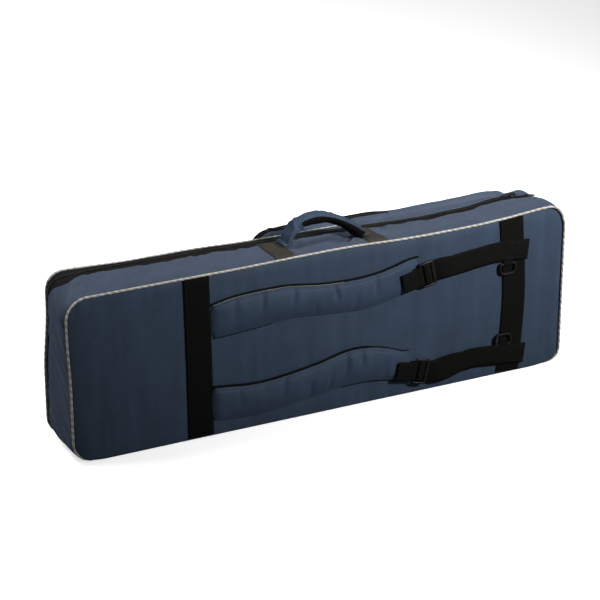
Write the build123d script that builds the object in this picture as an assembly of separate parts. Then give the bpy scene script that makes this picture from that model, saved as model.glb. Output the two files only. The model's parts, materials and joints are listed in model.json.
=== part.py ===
from build123d import *
import math
import os

os.makedirs("parts", exist_ok=True)

# A padded telescope carry case standing on its long narrow side.
# X runs along the case, the strap side faces -Y, the lid and its pocket face +Y, +Z is up.
# The origin is the centre of the base, on the surface that the case stands on. Millimetres.

# Case shell
LENGTH = 1010.0
HEIGHT = 320.0
CORNER = 42.0
HALF_DEPTH = 62.5          # from the middle plane to the centre line of each piping cord
PIPING_R = 2.5
SKIN = 1.2
FOAM = 8.0
LINING = 1.0
GAP = 0.05                 # sewing clearance between a body's pieces and a moving one's
SKIN_INSET = 2 * PIPING_R + 0.2
WALL = SKIN + FOAM
INNER_INSET = WALL + LINING + 0.2
GUSSET_EDGE = HALF_DEPTH - PIPING_R
PANEL_OUT = HALF_DEPTH + 0.6

# Main zipper, round the top and both ends
ZIP_Y = 37.5
COIL_HALF = 3.0
COIL_PROUD = 0.8
TAPE_HALF = 14.0
TAPE_THICK = 1.0
SPLIT_Z = 30.0             # the zipper stops in the bottom corners, below that the base joins both sides

# Front pocket on the lid
POCKET_WIDTH = 548.0
POCKET_X = 193.0
POCKET_LOW = 30.0
POCKET_TOP = 311.0
POCKET_CORNER = 36.0
POCKET_SKIN = 2.0
POCKET_ZIP_Y = 93.0
POCKET_COIL_HALF = 2.5
POCKET_TAPE_IN = 84.0
POCKET_FACE_Y = 101.0
POCKET_FACE = 2.5
POCKET_BINDING_R = 2.0
POCKET_SPLIT = 62.0

# Carry handle
HANDLE_X = 15.0
HANDLE_SPAN = 150.0
HANDLE_RISE = 42.5
HANDLE_BASE = 322.0
HANDLE_AXIS = 329.0
GRIP_R = 11.0
GRIP_HALF_ANGLE = 40.0
CORE_THICK = 4.0
CORE_WIDE = 18.0
CORE_END_WIDE = 10.0
PATCH_WIDE = 40.0
PATCH_OFFSET = 94.0
PATCH_THICK = 1.6
PATCH_END_Y = 20.0
TAB_THICK = 2.0
TAB_REACH = 20.0           # how far each tab runs out past the handle's foot
TAB_OVERLAP = 6.0          # and in under it
TAB_WIDE = 38.0
RIVET_R = 3.2
RIVET_HIGH = 1.2
RIVET_Y = 10.0
RIVET_OFFSET = 90.0

# Webbing on the strap side
WEB_THICK = 1.8
WEB_WIDE = 50.0
WEB_LEFT_X = -259.0
WEB_RIGHT_X = 390.0
BACK_FACE = -PANEL_OUT - 0.2
PAD_THICK = 12.0
PAD_FACE = BACK_FACE - PAD_THICK
ADJUSTER_WIDE = 38.0
ADJUSTER_IN = BACK_FACE - WEB_THICK - 4.0
BAR_R = 2.0
BAR_Y = PAD_FACE + BAR_R + 0.3
BUCKLE_TALL = 50.0
BUCKLE_LONG = 32.0
BUCKLE_ARM = 4.0
BUCKLE_MIDDLE = 0.48       # where the middle bar stands, as a share of the way to the end bar
BUCKLE_END_BAR = 5.0
WRAP_R = BAR_R + 0.3       # inside of the webbing folded round a bar
TAB_LONG = 40.0
TAB_TUCK = 8.0
RING_Y = BACK_FACE - WEB_THICK - BAR_R
RING_HALF = 17.0
RING_TALL = 24.0
RING_NEAR_R = 3.5
RING_FAR_R = 11.0
KEEPER_WIDE = 20.0

# Sliders
SLIDER_LONG = 14.0
SLIDER_WIDE = 11.0
SLIDER_HIGH = 2.2
SLIDER_LIFT = COIL_PROUD + 0.5
SLIDER_ROUND = 2.5
SLIDER_SPACING = 17.0      # between the two sliders that meet when the main zipper is closed
BAIL_R = 0.8
BAIL_RISE = 2.8
BAIL_WIDE = 7.6
POST_OUT = 3.6
PULLER_LONG = 22.0
PULLER_WIDE = 8.0
PULLER_THICK = 1.6
PULLER_DROOP = 11.0
PULLER_START = 3.0
EYE_R = 2.4
EYE_HOLE_R = 1.2

# Hold-down straps inside
STRAP_OFFSET = 230.0
STRAP_WIDE = 38.0
STRAP_THICK = 2.0
STRAP_LOW = 40.0
STRAP_HIGH = 280.0


def xz(y):
    """Work plane at a given Y: local x is +X, local y is +Z, and it faces -Y."""
    return Plane(origin=(0, y, 0), x_dir=(1, 0, 0), z_dir=(0, -1, 0))


def save(node, shape):
    """Write one node; a group of separate solids stays one compound."""
    shape.label = node
    export_step(shape, f"parts/{node}.step")


def rounded_slab(x_mid, width, low, top, radius, inset, y0, y1):
    """A rounded rectangle in XZ, shrunk by inset, from y0 to y1."""
    sketch = Pos(x_mid, (low + top) / 2) * RectangleRounded(
        width - 2 * inset, top - low - 2 * inset, max(radius - inset, 1.0))
    return extrude(xz(y1) * sketch, y1 - y0)


def slab(inset, y0, y1):
    return rounded_slab(0, LENGTH, 0, HEIGHT, CORNER, inset, y0, y1)


def ring(outer, inner, y0, y1):
    return slab(outer, y0, y1) - slab(inner, y0 - 1, y1 + 1)


def pocket_slab(inset, y0, y1):
    return rounded_slab(POCKET_X, POCKET_WIDTH, POCKET_LOW, POCKET_TOP, POCKET_CORNER, inset, y0, y1)


def pocket_ring(outer, inner, y0, y1):
    return pocket_slab(outer, y0, y1) - pocket_slab(inner, y0 - 1, y1 + 1)


def box(x0, x1, y0, y1, z0, z1):
    return Pos((x0 + x1) / 2, (y0 + y1) / 2, (z0 + z1) / 2) * Box(x1 - x0, y1 - y0, z1 - z0)


def above(z):
    return box(-600, 600, -200, 200, z, 500)


def below(z):
    return box(-600, 600, -200, 200, -50, z)


def cord_loop(x_mid, width, low, top, radius, inset, y, cord_r):
    """A round cord along a rounded rectangle."""
    path = (xz(y) * Pos(x_mid, (low + top) / 2) * RectangleRounded(
        width - 2 * inset, top - low - 2 * inset, radius - inset)).wire()
    profile = Plane(origin=path @ 0, z_dir=path % 0) * Circle(cord_r)
    return sweep(profile, path=path)


def band(points, width, y0, y1):
    """Flat webbing that follows a centre line of (x, z) points, between y0 and y1."""
    upper = []
    lower = []
    for i, (x, z) in enumerate(points):
        before = points[max(i - 1, 0)]
        after = points[min(i + 1, len(points) - 1)]
        run = math.hypot(after[0] - before[0], after[1] - before[1])
        nx = -(after[1] - before[1]) / run * width / 2
        nz = (after[0] - before[0]) / run * width / 2
        upper.append((x + nx, z + nz))
        lower.append((x - nx, z - nz))
    outline = Polyline(*upper, *reversed(lower), close=True)
    return extrude(xz(y1) * make_face(outline), y1 - y0)


def case_body():
    """Strap-side panel, gusset all round, and the fixed half of the zipper."""
    save("back_panel", slab(SKIN_INSET, -PANEL_OUT, -PANEL_OUT + SKIN))
    foam_in = -PANEL_OUT + SKIN + FOAM
    save("back_foam", slab(INNER_INSET, -PANEL_OUT + SKIN, foam_in))
    save("back_lining", slab(INNER_INSET, foam_in, foam_in + LINING))
    edge = ZIP_Y - TAPE_HALF
    flap = ring(0, SKIN, edge, GUSSET_EDGE - GAP) & below(SPLIT_Z)
    save("body_gusset", ring(0, SKIN, -GUSSET_EDGE, edge) + flap)
    mid = ZIP_Y - 1
    flap = ring(SKIN, WALL, mid, GUSSET_EDGE - GAP) & below(SPLIT_Z)
    save("body_gusset_foam", ring(SKIN, WALL, -GUSSET_EDGE, mid) + flap)
    save("body_gusset_lining", ring(WALL, WALL + LINING, -GUSSET_EDGE + SKIN, mid))
    save("body_zipper_tape", ring(0, TAPE_THICK, edge, ZIP_Y - COIL_HALF) & above(SPLIT_Z + GAP))
    save("body_zipper_coil", ring(-COIL_PROUD, TAPE_THICK, ZIP_Y - COIL_HALF, ZIP_Y - GAP) & above(SPLIT_Z + GAP))
    save("back_piping", cord_loop(0, LENGTH, 0, HEIGHT, CORNER, PIPING_R, -HALF_DEPTH, PIPING_R))


def lid():
    """Front panel that swings down on its bottom seam, with the moving half of the zipper."""
    save("front_panel", slab(SKIN_INSET, PANEL_OUT - SKIN, PANEL_OUT))
    foam_in = PANEL_OUT - SKIN - FOAM
    save("front_foam", slab(INNER_INSET, foam_in, PANEL_OUT - SKIN))
    save("front_lining", slab(INNER_INSET, foam_in - LINING, foam_in))
    edge = ZIP_Y + TAPE_HALF
    clear = above(SPLIT_Z + 0.5)
    save("lid_gusset", ring(0, SKIN, edge, GUSSET_EDGE) & clear)
    save("lid_gusset_foam", ring(SKIN, WALL, ZIP_Y + 1, GUSSET_EDGE) & clear)
    save("lid_zipper_tape", ring(0, TAPE_THICK, ZIP_Y + COIL_HALF, edge) & clear)
    save("lid_zipper_coil", ring(-COIL_PROUD, TAPE_THICK, ZIP_Y + GAP, ZIP_Y + COIL_HALF) & clear)
    save("front_piping", cord_loop(0, LENGTH, 0, HEIGHT, CORNER, PIPING_R, HALF_DEPTH, PIPING_R))


def pocket():
    """Front pocket: its gusset stays on the lid and its face folds down on the bottom seam."""
    skin = POCKET_SKIN
    coil_in = POCKET_ZIP_Y - POCKET_COIL_HALF
    coil_out = POCKET_ZIP_Y + POCKET_COIL_HALF
    low_edge = pocket_ring(0, skin, POCKET_TAPE_IN, POCKET_FACE_Y - GAP) & below(POCKET_SPLIT)
    save("pocket_gusset", pocket_ring(0, skin, PANEL_OUT, POCKET_TAPE_IN) + low_edge)
    fixed = above(POCKET_SPLIT + GAP)
    moving = above(POCKET_SPLIT + 0.5)
    proud = -COIL_PROUD
    save("pocket_inner_tape", pocket_ring(0, TAPE_THICK, POCKET_TAPE_IN, coil_in) & fixed)
    save("pocket_inner_coil", pocket_ring(proud, TAPE_THICK, coil_in, POCKET_ZIP_Y - GAP) & fixed)
    save("pocket_outer_coil", pocket_ring(proud, TAPE_THICK, POCKET_ZIP_Y + GAP, coil_out) & moving)
    save("pocket_outer_tape", pocket_ring(0, TAPE_THICK, coil_out, POCKET_FACE_Y) & moving)
    face_out = POCKET_FACE_Y + POCKET_FACE
    save("pocket_panel", pocket_slab(2 * POCKET_BINDING_R + 0.2, POCKET_FACE_Y, face_out))
    binding_y = POCKET_FACE_Y + POCKET_BINDING_R
    save("pocket_binding", cord_loop(POCKET_X, POCKET_WIDTH, POCKET_LOW, POCKET_TOP, POCKET_CORNER,
                                     POCKET_BINDING_R, binding_y, POCKET_BINDING_R))


def handle_arc(thickness, y_half, half_angle):
    """Part of the handle's arch: a curved bar between two angles either side of the top."""
    half = HANDLE_SPAN / 2
    radius = (half ** 2 + HANDLE_RISE ** 2) / (2 * HANDLE_RISE)
    centre_z = HANDLE_BASE + HANDLE_RISE - radius
    reach = 3 * radius
    wedge_x = reach * math.sin(math.radians(half_angle))
    wedge_z = reach * math.cos(math.radians(half_angle))
    disc = Circle(radius + thickness / 2) - Circle(radius - thickness / 2)
    wedge = make_face(Polyline((0, 0), (wedge_x, wedge_z), (0, reach), (-wedge_x, wedge_z), close=True))
    sketch = Pos(HANDLE_X, centre_z) * (disc & wedge)
    return extrude(xz(y_half) * sketch, 2 * y_half)


def handle():
    """Webbing core inside a padded grip, over two patches sewn across the gusset."""
    half = HANDLE_SPAN / 2
    radius = (half ** 2 + HANDLE_RISE ** 2) / (2 * HANDLE_RISE)
    centre_z = HANDLE_BASE + HANDLE_RISE - radius
    full_angle = math.degrees(math.asin(half / radius))
    ends = handle_arc(CORE_THICK, CORE_END_WIDE / 2, full_angle) & above(HANDLE_AXIS)
    core = ends + handle_arc(CORE_THICK, CORE_WIDE / 2, GRIP_HALF_ANGLE + 4)
    save("handle_webbing", core)
    angle = GRIP_HALF_ANGLE
    arch = xz(0) * CenterArc((HANDLE_X, centre_z), radius, 90 - angle, 2 * angle)
    grip = sweep(Plane(origin=arch @ 0, z_dir=arch % 0) * Circle(GRIP_R), path=arch)
    save("handle_grip", grip - core)
    for name, side in (("left", -1), ("right", 1)):
        mid = HANDLE_X + side * PATCH_OFFSET
        top = HEIGHT + PATCH_THICK
        save(f"handle_patch_{name}", box(mid - PATCH_WIDE / 2, mid + PATCH_WIDE / 2,
                                         -GUSSET_EDGE, PATCH_END_Y, HEIGHT, top))
        start = HANDLE_X + side * (half - TAB_OVERLAP)
        end = HANDLE_X + side * (half + TAB_REACH)
        save(f"handle_tab_{name}", box(min(start, end), max(start, end),
                                       -TAB_WIDE / 2, TAB_WIDE / 2, top, top + TAB_THICK))
    rivets = []
    rivet_z = HEIGHT + PATCH_THICK + TAB_THICK + RIVET_HIGH / 2
    for side in (-1, 1):
        for y in (-RIVET_Y, RIVET_Y):
            rivets.append(Pos(HANDLE_X + side * RIVET_OFFSET, y, rivet_z) * Cylinder(RIVET_R, RIVET_HIGH))
    save("handle_rivets", Compound(children=rivets))


def pad_outline(top, bottom):
    """A shoulder pad's face: two long curves, closed by straight ends."""
    upper = Spline(*top)
    lower = Spline(*bottom)
    left = Line(bottom[0], top[0])
    right = Line(top[-1], bottom[-1])
    return make_face(Wire([upper, right, lower, left]))


def shoulder_pads():
    start = WEB_LEFT_X + WEB_WIDE / 2 + 0.5
    outlines = {
        "shoulder_pad_upper": (
            [(start, 258), (-85, 270), (5, 257), (65, 253), (118, 263), (162, 270)],
            [(start, 192), (-80, 202), (25, 194), (85, 192), (125, 199), (166, 208)]),
        "shoulder_pad_lower": (
            [(start, 98), (-135, 89), (-32, 101), (60, 117), (110, 109), (156, 92)],
            [(start, 29), (-135, 24), (-30, 36), (45, 44), (105, 41), (152, 31)]),
    }
    for node, (top, bottom) in outlines.items():
        face = pad_outline(top, bottom)
        save(node, extrude(xz(BACK_FACE) * face, PAD_THICK))


def webbing():
    low = SKIN_INSET
    high = HEIGHT - SKIN_INSET
    for node, x in (("webbing_left", WEB_LEFT_X), ("webbing_right", WEB_RIGHT_X)):
        save(node, box(x - WEB_WIDE / 2, x + WEB_WIDE / 2, BACK_FACE - WEB_THICK, BACK_FACE, low, high))
    routes = {
        "adjuster_webbing_upper": [(200, 243), (361, 254), (421, 251)],
        "adjuster_webbing_lower": [(190, 47), (356, 41), (421, 36)],
    }
    for node, route in routes.items():
        save(node, band(route, ADJUSTER_WIDE, ADJUSTER_IN - WEB_THICK, ADJUSTER_IN))


def ladder_lock():
    """Buckle in its own frame: tab bar on the Z axis at the origin, strap running to +X."""
    end = BUCKLE_LONG - 2 * BAR_R
    arm = BUCKLE_ARM
    z = BUCKLE_TALL / 2
    shape = Cylinder(BAR_R, BUCKLE_TALL)
    for side in (-1, 1):
        shape += Pos(end / 2, 0, side * (z - arm / 2)) * Box(end, 2 * BAR_R, arm)
    shape += Pos(end * BUCKLE_MIDDLE, 0, 0) * Box(arm, 2 * BAR_R, BUCKLE_TALL)
    shape += Pos(end, 0, 0) * Box(BUCKLE_END_BAR, 2 * BAR_R, BUCKLE_TALL)
    return shape


def bar_tab(length):
    """Webbing tab in the buckle's frame: sewn flat on the pad and folded round the tab bar."""
    outer = WRAP_R + WEB_THICK
    wide = ADJUSTER_WIDE
    wrap = Cylinder(outer, wide) - Cylinder(WRAP_R, wide + 2)
    wrap &= Pos(outer / 2, 0, 0) * Box(outer, 2 * outer, wide)
    flat = Pos(-length / 2, -outer + WEB_THICK / 2, 0) * Box(length, WEB_THICK, wide)
    tuck = Pos(-TAB_TUCK / 2, outer - WEB_THICK / 2, 0) * Box(TAB_TUCK, WEB_THICK, wide)
    return wrap + flat + tuck


BUCKLES = {
    "upper": (188.0, 240.0, 12.0),
    "lower": (178.0, 49.0, -12.0),
}


def buckles():
    for name, (x, z, tilt) in BUCKLES.items():
        place = Pos(x, BAR_Y, z) * Rot(0, -tilt, 0)
        save(f"ladder_lock_{name}", place * ladder_lock())
        save(f"pad_tab_{name}", place * bar_tab(TAB_LONG))


def ring_shape():
    """A D-ring in its own frame: the bar on the X axis at the origin, the bow towards -Z."""
    near = RING_NEAR_R
    far = RING_FAR_R
    half = RING_HALF
    low = -RING_TALL
    path = Wire([
        Line((-half + near, 0), (half - near, 0)),
        CenterArc((half - near, -near), near, 90, -90),
        Line((half, -near), (half, low + far)),
        CenterArc((half - far, low + far), far, 0, -90),
        Line((half - far, low), (-half + far, low)),
        CenterArc((-half + far, low + far), far, -90, -90),
        Line((-half, low + far), (-half, -near)),
        CenterArc((-half + near, -near), near, 180, -90),
    ])
    path = xz(0) * path
    return sweep(Plane(origin=path @ 0, z_dir=path % 0) * Circle(BAR_R), path=path)


def keeper_block(y0, y1, z0, z1):
    return box(-KEEPER_WIDE / 2, KEEPER_WIDE / 2, y0, y1, z0, z1)


def ring_keeper():
    """Webbing keeper: a bridge over the ring's bar, with a tongue under the adjuster's sewn end."""
    tongue = keeper_block(-BAR_R, BAR_R, 2.4, 21.6)
    foot = keeper_block(-3.8, BAR_R, -8.0, -2.4)
    bridge = keeper_block(-3.8, -2.3, -8.0, 3.5)
    neck = keeper_block(-2.9, -1.9, 2.4, 3.5)
    return tongue + foot + bridge + neck


RINGS = {
    "upper": (377.0, 229.5, 0.0),
    "lower": (372.0, 64.0, 180.0),
}


def rings():
    for name, (x, z, turn) in RINGS.items():
        place = Pos(x, RING_Y, z) * Rot(0, turn, 0)
        save(f"d_ring_{name}", place * ring_shape())
        save(f"ring_keeper_{name}", place * ring_keeper())


def slider():
    """Zipper slider in its own frame: the coil's middle at the origin, a bail across the top."""
    low = SLIDER_LIFT
    body = Pos(0, 0, low + SLIDER_HIGH / 2) * Box(SLIDER_LONG, SLIDER_WIDE, SLIDER_HIGH)
    body = fillet(body.edges().filter_by(Axis.Z), SLIDER_ROUND)
    bar_z = low + SLIDER_HIGH + BAIL_RISE
    for side in (-1, 1):
        post = Pos(0, side * POST_OUT, (low + SLIDER_HIGH + bar_z + BAIL_R) / 2)
        body += post * Box(3.0, 1.4, BAIL_RISE + BAIL_R)
    body += Pos(0, 0, bar_z) * Rot(90, 0, 0) * Cylinder(BAIL_R, BAIL_WIDE)
    return body, bar_z


def puller(bar_z, side):
    """Pull tab hung on the bail, drooping to one side so that its tip is just off the tape."""
    pin_hole = Rot(90, 0, 0) * Cylinder(EYE_HOLE_R, 4)
    eye = Rot(90, 0, 0) * Cylinder(EYE_R, 2.0) - pin_hole
    plate_x = side * (PULLER_LONG + PULLER_START) / 2
    plate = Pos(plate_x, 0, 0) * Box(PULLER_LONG - PULLER_START, PULLER_WIDE, PULLER_THICK)
    neck = Pos(side * 2.6, 0, 0) * Box(2.6, 2.0, PULLER_THICK)
    plate = fillet(plate.edges().filter_by(Axis.Z), 2.0)
    grip_hole = Pos(side * (PULLER_LONG - 5), 0, 0) * Cylinder(1.8, 4)
    tab = eye + (neck - pin_hole) + (plate - grip_hole)
    return Pos(0, 0, bar_z) * Rot(0, side * PULLER_DROOP, 0) * tab


def sliders():
    body, bar_z = slider()
    straight_end = LENGTH / 2 - CORNER
    spots = {
        "top": (straight_end - SLIDER_SPACING, ZIP_Y, HEIGHT, -1),
        "corner": (straight_end, ZIP_Y, HEIGHT, 1),
        "pocket": (POCKET_X - POCKET_WIDTH / 2 + POCKET_CORNER, POCKET_ZIP_Y, POCKET_TOP, 1),
    }
    for name, (x, y, z, side) in spots.items():
        save(f"{name}_slider", Pos(x, y, z) * body)
        save(f"{name}_puller", Pos(x, y, z) * puller(bar_z, side))


def inner_straps():
    """Hook-and-loop straps that hold the tube against the back lining."""
    face = -PANEL_OUT + SKIN + FOAM + LINING
    half = STRAP_WIDE / 2
    for name, x in (("left", -STRAP_OFFSET), ("right", STRAP_OFFSET)):
        save(f"inner_strap_{name}", box(x - half, x + half, face, face + STRAP_THICK, STRAP_LOW, STRAP_HIGH))


case_body()
lid()
pocket()
handle()
shoulder_pads()
webbing()
buckles()
rings()
sliders()
inner_straps()
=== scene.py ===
import json
import math

import bmesh
import bpy
import numpy as np
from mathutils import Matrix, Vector


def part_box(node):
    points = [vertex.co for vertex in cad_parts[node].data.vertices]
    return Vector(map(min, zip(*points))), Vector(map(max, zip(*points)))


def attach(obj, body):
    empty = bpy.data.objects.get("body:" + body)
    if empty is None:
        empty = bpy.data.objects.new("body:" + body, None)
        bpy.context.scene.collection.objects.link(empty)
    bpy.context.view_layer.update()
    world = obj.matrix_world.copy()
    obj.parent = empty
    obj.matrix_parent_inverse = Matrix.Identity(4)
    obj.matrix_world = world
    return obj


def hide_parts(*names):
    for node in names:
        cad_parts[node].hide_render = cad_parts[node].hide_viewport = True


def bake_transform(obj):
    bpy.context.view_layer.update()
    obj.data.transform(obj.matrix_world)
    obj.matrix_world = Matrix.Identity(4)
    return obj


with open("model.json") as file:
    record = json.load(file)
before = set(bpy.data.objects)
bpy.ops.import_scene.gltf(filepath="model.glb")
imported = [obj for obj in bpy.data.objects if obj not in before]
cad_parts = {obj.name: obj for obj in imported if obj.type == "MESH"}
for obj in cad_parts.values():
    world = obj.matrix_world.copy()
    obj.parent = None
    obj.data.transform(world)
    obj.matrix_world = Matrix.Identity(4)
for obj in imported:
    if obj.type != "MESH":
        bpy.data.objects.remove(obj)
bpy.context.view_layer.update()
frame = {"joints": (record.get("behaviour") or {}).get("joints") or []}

MM = 0.001

# Everything below is written in millimetres, in the frame's axes, and turned into metres in piece().


def cad(node):
    """Lowest and highest corner of a CAD node, in millimetres."""
    low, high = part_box(node)
    return np.array(low) / MM, np.array(high) / MM


# ---------------------------------------------------------------- driving dimensions, from the frame

case_low, case_high = cad("back_piping")
LENGTH = case_high[0] - case_low[0]
HEIGHT = case_high[2] - case_low[2]
CORNER = 42.0
PIPE_R = (case_high[1] - case_low[1]) / 2
BACK_Y = (case_high[1] + case_low[1]) / 2
FRONT_Y = -BACK_Y
PANEL_Y = cad("back_panel")[0][1]
GUSSET_EDGE = cad("body_gusset")[1][1]
ZIP_Y = cad("body_zipper_coil")[1][1]
ZIP_LOW = cad("body_zipper_tape")[0][2]
WEB_FACE = cad("webbing_left")[1][1]
WEB_THICK = WEB_FACE - cad("webbing_left")[0][1]
PAD_BACK = cad("shoulder_pad_upper")[1][1]

pocket_low, pocket_high = cad("pocket_binding")
POCKET_X = (pocket_low[0] + pocket_high[0]) / 2
POCKET_WIDTH = pocket_high[0] - pocket_low[0]
POCKET_LOW, POCKET_TOP = pocket_low[2], pocket_high[2]
POCKET_CORNER = 36.0
POCKET_ZIP_Y = cad("pocket_inner_coil")[1][1]
POCKET_SPLIT = cad("pocket_inner_tape")[0][2]
BINDING_Y = (pocket_low[1] + pocket_high[1]) / 2

HANDLE_X = (cad("handle_grip")[0][0] + cad("handle_grip")[1][0]) / 2


# ---------------------------------------------------------------- small tools

def smooth(x):
    """Smooth step from 0 to 1."""
    x = np.clip(x, 0.0, 1.0)
    return x * x * (3 - 2 * x)


def noise(x, y=0.0, seed=0):
    """Smooth value noise in -1..1 over one or two coordinates, the same on every run."""
    table = np.random.default_rng(seed).uniform(-1, 1, (128, 128))
    x, y = np.broadcast_arrays(np.asarray(x, float), np.asarray(y, float))
    xi, yi = np.floor(x).astype(int), np.floor(y).astype(int)
    fx, fy = smooth(x - xi), smooth(y - yi)
    a, b = table[xi % 128, yi % 128], table[(xi + 1) % 128, yi % 128]
    c, d = table[xi % 128, (yi + 1) % 128], table[(xi + 1) % 128, (yi + 1) % 128]
    return (a * (1 - fx) + b * fx) * (1 - fy) + (c * (1 - fx) + d * fx) * fy


def through(points, at):
    """A smooth curve y(x) through given points, by cubic Hermite spans."""
    points = np.array(sorted(points), float)
    x, y = points[:, 0], points[:, 1]
    slope = np.gradient(y, x)
    at = np.clip(at, x[0], x[-1])
    i = np.clip(np.searchsorted(x, at) - 1, 0, len(x) - 2)
    h = x[i + 1] - x[i]
    t = (at - x[i]) / h
    return ((2 * t**3 - 3 * t**2 + 1) * y[i] + (t**3 - 2 * t**2 + t) * h * slope[i]
            + (3 * t**2 - 2 * t**3) * y[i + 1] + (t**3 - t**2) * h * slope[i + 1])


def distances(line):
    """How far along a line each of its points lies."""
    return np.concatenate([[0], np.cumsum(np.linalg.norm(np.diff(line, axis=0), axis=1))])


def full_turn(count):
    """Evenly spaced angles round a circle."""
    return np.linspace(0, 2 * math.pi, count, endpoint=False)


def squared(wave, power=0.6):
    """A sine or cosine drawn outwards, so that a section made with it has flatter sides."""
    return np.sign(wave) * np.abs(wave) ** power


def route(points, step):
    """Points about step apart on a smooth line through a few given ones."""
    points = np.array(points, float)
    along = distances(points)
    at = np.linspace(0, along[-1], max(3, int(along[-1] / step) + 1))
    return np.stack([through(list(zip(along, points[:, k])), at) for k in range(points.shape[1])], 1)


def unit(v):
    return v / np.maximum(np.linalg.norm(v, axis=-1, keepdims=True), 1e-12)


def loft(rings, closed=False):
    """(vertices, faces) of a skin over rings of points. Rings have an even count; open ends are capped."""
    n, m, _ = rings.shape
    faces = []
    for i in range(n if closed else n - 1):
        j = (i + 1) % n
        for k in range(m):
            q = (k + 1) % m
            faces.append((i * m + k, i * m + q, j * m + q, j * m + k))
    if not closed:
        for end in (0, n - 1):
            for k in range(m // 2 - 1):
                cap = [end * m + k, end * m + k + 1, end * m + m - 2 - k, end * m + m - 1 - k]
                faces.append(tuple(reversed(cap)) if end == 0 else tuple(cap))
    return rings.reshape(-1, 3), faces


def join(*parts):
    """Several (vertices, faces) as one."""
    verts, faces, base = [], [], 0
    for v, f in parts:
        verts.append(v)
        faces += [tuple(i + base for i in face) for face in f]
        base += len(v)
    return np.concatenate(verts), faces


def piece(name, shape, material, body=None, stands_for=(), soft=True):
    """A mesh object from millimetre vertices, riding on a body and standing for CAD nodes."""
    verts, faces = shape
    if soft and body in ("case", "lid"):
        verts = slump(verts)
    mesh = bpy.data.meshes.new(name)
    mesh.from_pydata((verts * MM).tolist(), [], faces)
    obj = bpy.data.objects.new(name, mesh)
    bpy.context.scene.collection.objects.link(obj)
    mesh.materials.append(material)
    outward(mesh)
    mesh.shade_smooth()
    if body:
        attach(obj, body)
    if stands_for:
        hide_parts(*stands_for)
    return obj


def outward(mesh):
    """Turns the faces of each closed part outwards."""
    edit = bmesh.new()
    edit.from_mesh(mesh)
    bmesh.ops.recalc_face_normals(edit, faces=edit.faces)
    edit.to_mesh(mesh)
    edit.free()


def outline(width, low, top, radius, x_mid=0.0, step=4.0):
    """Points, outward normals and arc lengths round a rounded rectangle, from the middle of its base."""
    half, right, left = width / 2 - radius, x_mid + width / 2 - radius, x_mid - width / 2 + radius
    parts = []

    def straight(a, b, normal):
        count = max(2, int(math.dist(a, b) / step))
        t = np.linspace(0, 1, count, endpoint=False)[:, None]
        parts.append((np.array(a) + t * (np.array(b) - np.array(a)), np.tile(normal, (count, 1))))

    def corner(centre, start):
        count = max(8, int(radius * math.pi / 2 / min(step, 3.0)))
        angle = np.radians(start + np.linspace(0, 90, count, endpoint=False))
        normal = np.stack([np.cos(angle), np.sin(angle)], 1)
        parts.append((np.array(centre) + radius * normal, normal))

    straight((right - half, low), (right, low), (0.0, -1.0))
    corner((right, low + radius), -90)
    straight((right + radius, low + radius), (right + radius, top - radius), (1.0, 0.0))
    corner((right, top - radius), 0)
    straight((right, top), (left, top), (0.0, 1.0))
    corner((left, top - radius), 90)
    straight((left - radius, top - radius), (left - radius, low + radius), (-1.0, 0.0))
    corner((left, low + radius), 180)
    straight((left, low), (left + half, low), (0.0, -1.0))
    points = np.concatenate([p for p, _ in parts])
    normals = np.concatenate([n for _, n in parts])
    steps = np.linalg.norm(np.diff(points, axis=0, append=points[:1]), axis=1)
    return points, normals, np.concatenate([[0], np.cumsum(steps)[:-1]])


def wall(path, y0, y1, rows, rise, thick, keep=None, closed=True):
    """A cloth band round an outline, from y0 to y1 at each point. rise(t, y) lifts it outwards."""
    points, normals, _ = path
    t = np.linspace(0, 1, rows + 1)
    y = y0[:, None] + t[None, :] * (y1 - y0)[:, None]
    lift = rise(t[None, :] * np.ones_like(y), y)
    out = place_on(points, normals, y, lift)
    inside = place_on(points, normals, y, lift - thick)[:, ::-1]
    rings = np.concatenate([out, inside], 1)
    if keep is not None:
        rings = rings[keep]
    return loft(rings, closed=closed and keep is None)


def place_on(points, normals, y, lift):
    """3-D points on an outline's wall: position, depth and lift along the normal."""
    flat = points[:, None, :] + normals[:, None, :] * lift[:, :, None]
    return np.stack([flat[:, :, 0], y, flat[:, :, 1]], 2)


def tube(path, radius, sides=12, closed=False, up=(0.0, 1.0, 0.0), swell=None):
    """A round cord along a path. swell(s, angle) changes its radius."""
    ahead = np.roll(path, -1, 0) - np.roll(path, 1, 0) if closed else np.gradient(path, axis=0)
    tangent = unit(ahead)
    side = unit(np.cross(tangent, np.array(up)))
    other = np.cross(side, tangent)
    along, angle = distances(path), full_turn(sides)
    r = np.full((len(path), sides), float(radius))
    if swell is not None:
        r = r * swell(along[:, None], angle[None, :])
    ring = (side[:, None, :] * np.cos(angle)[None, :, None]
            + other[:, None, :] * np.sin(angle)[None, :, None])
    return loft(path[:, None, :] + ring * r[:, :, None], closed)


def ribbon(path, normal, width, thick, across=7, sag=None):
    """Flat webbing along a path: a rounded flat section, with its face along normal."""
    tangent = unit(np.gradient(path, axis=0))
    normal = np.broadcast_to(np.array(normal, float), path.shape)
    normal = unit(normal - tangent * (normal * tangent).sum(1, keepdims=True))
    side = np.cross(tangent, normal)
    a = np.linspace(-1, 1, across)
    edge = np.sqrt(np.maximum(1 - np.abs(a) ** 10, 0.12))
    half = np.broadcast_to(np.asarray(width, float) / 2, (len(path),))
    lift = np.zeros((len(path), across)) if sag is None else sag(path, a)
    spread_out = side[:, None, :] * (a[None, :] * half[:, None])[:, :, None]
    middle = path[:, None, :] + spread_out + normal[:, None, :] * lift[:, :, None]
    shell = normal[:, None, :] * (edge * thick / 2)[None, :, None]
    return loft(np.concatenate([middle + shell, (middle - shell)[:, ::-1]], 1))


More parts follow.
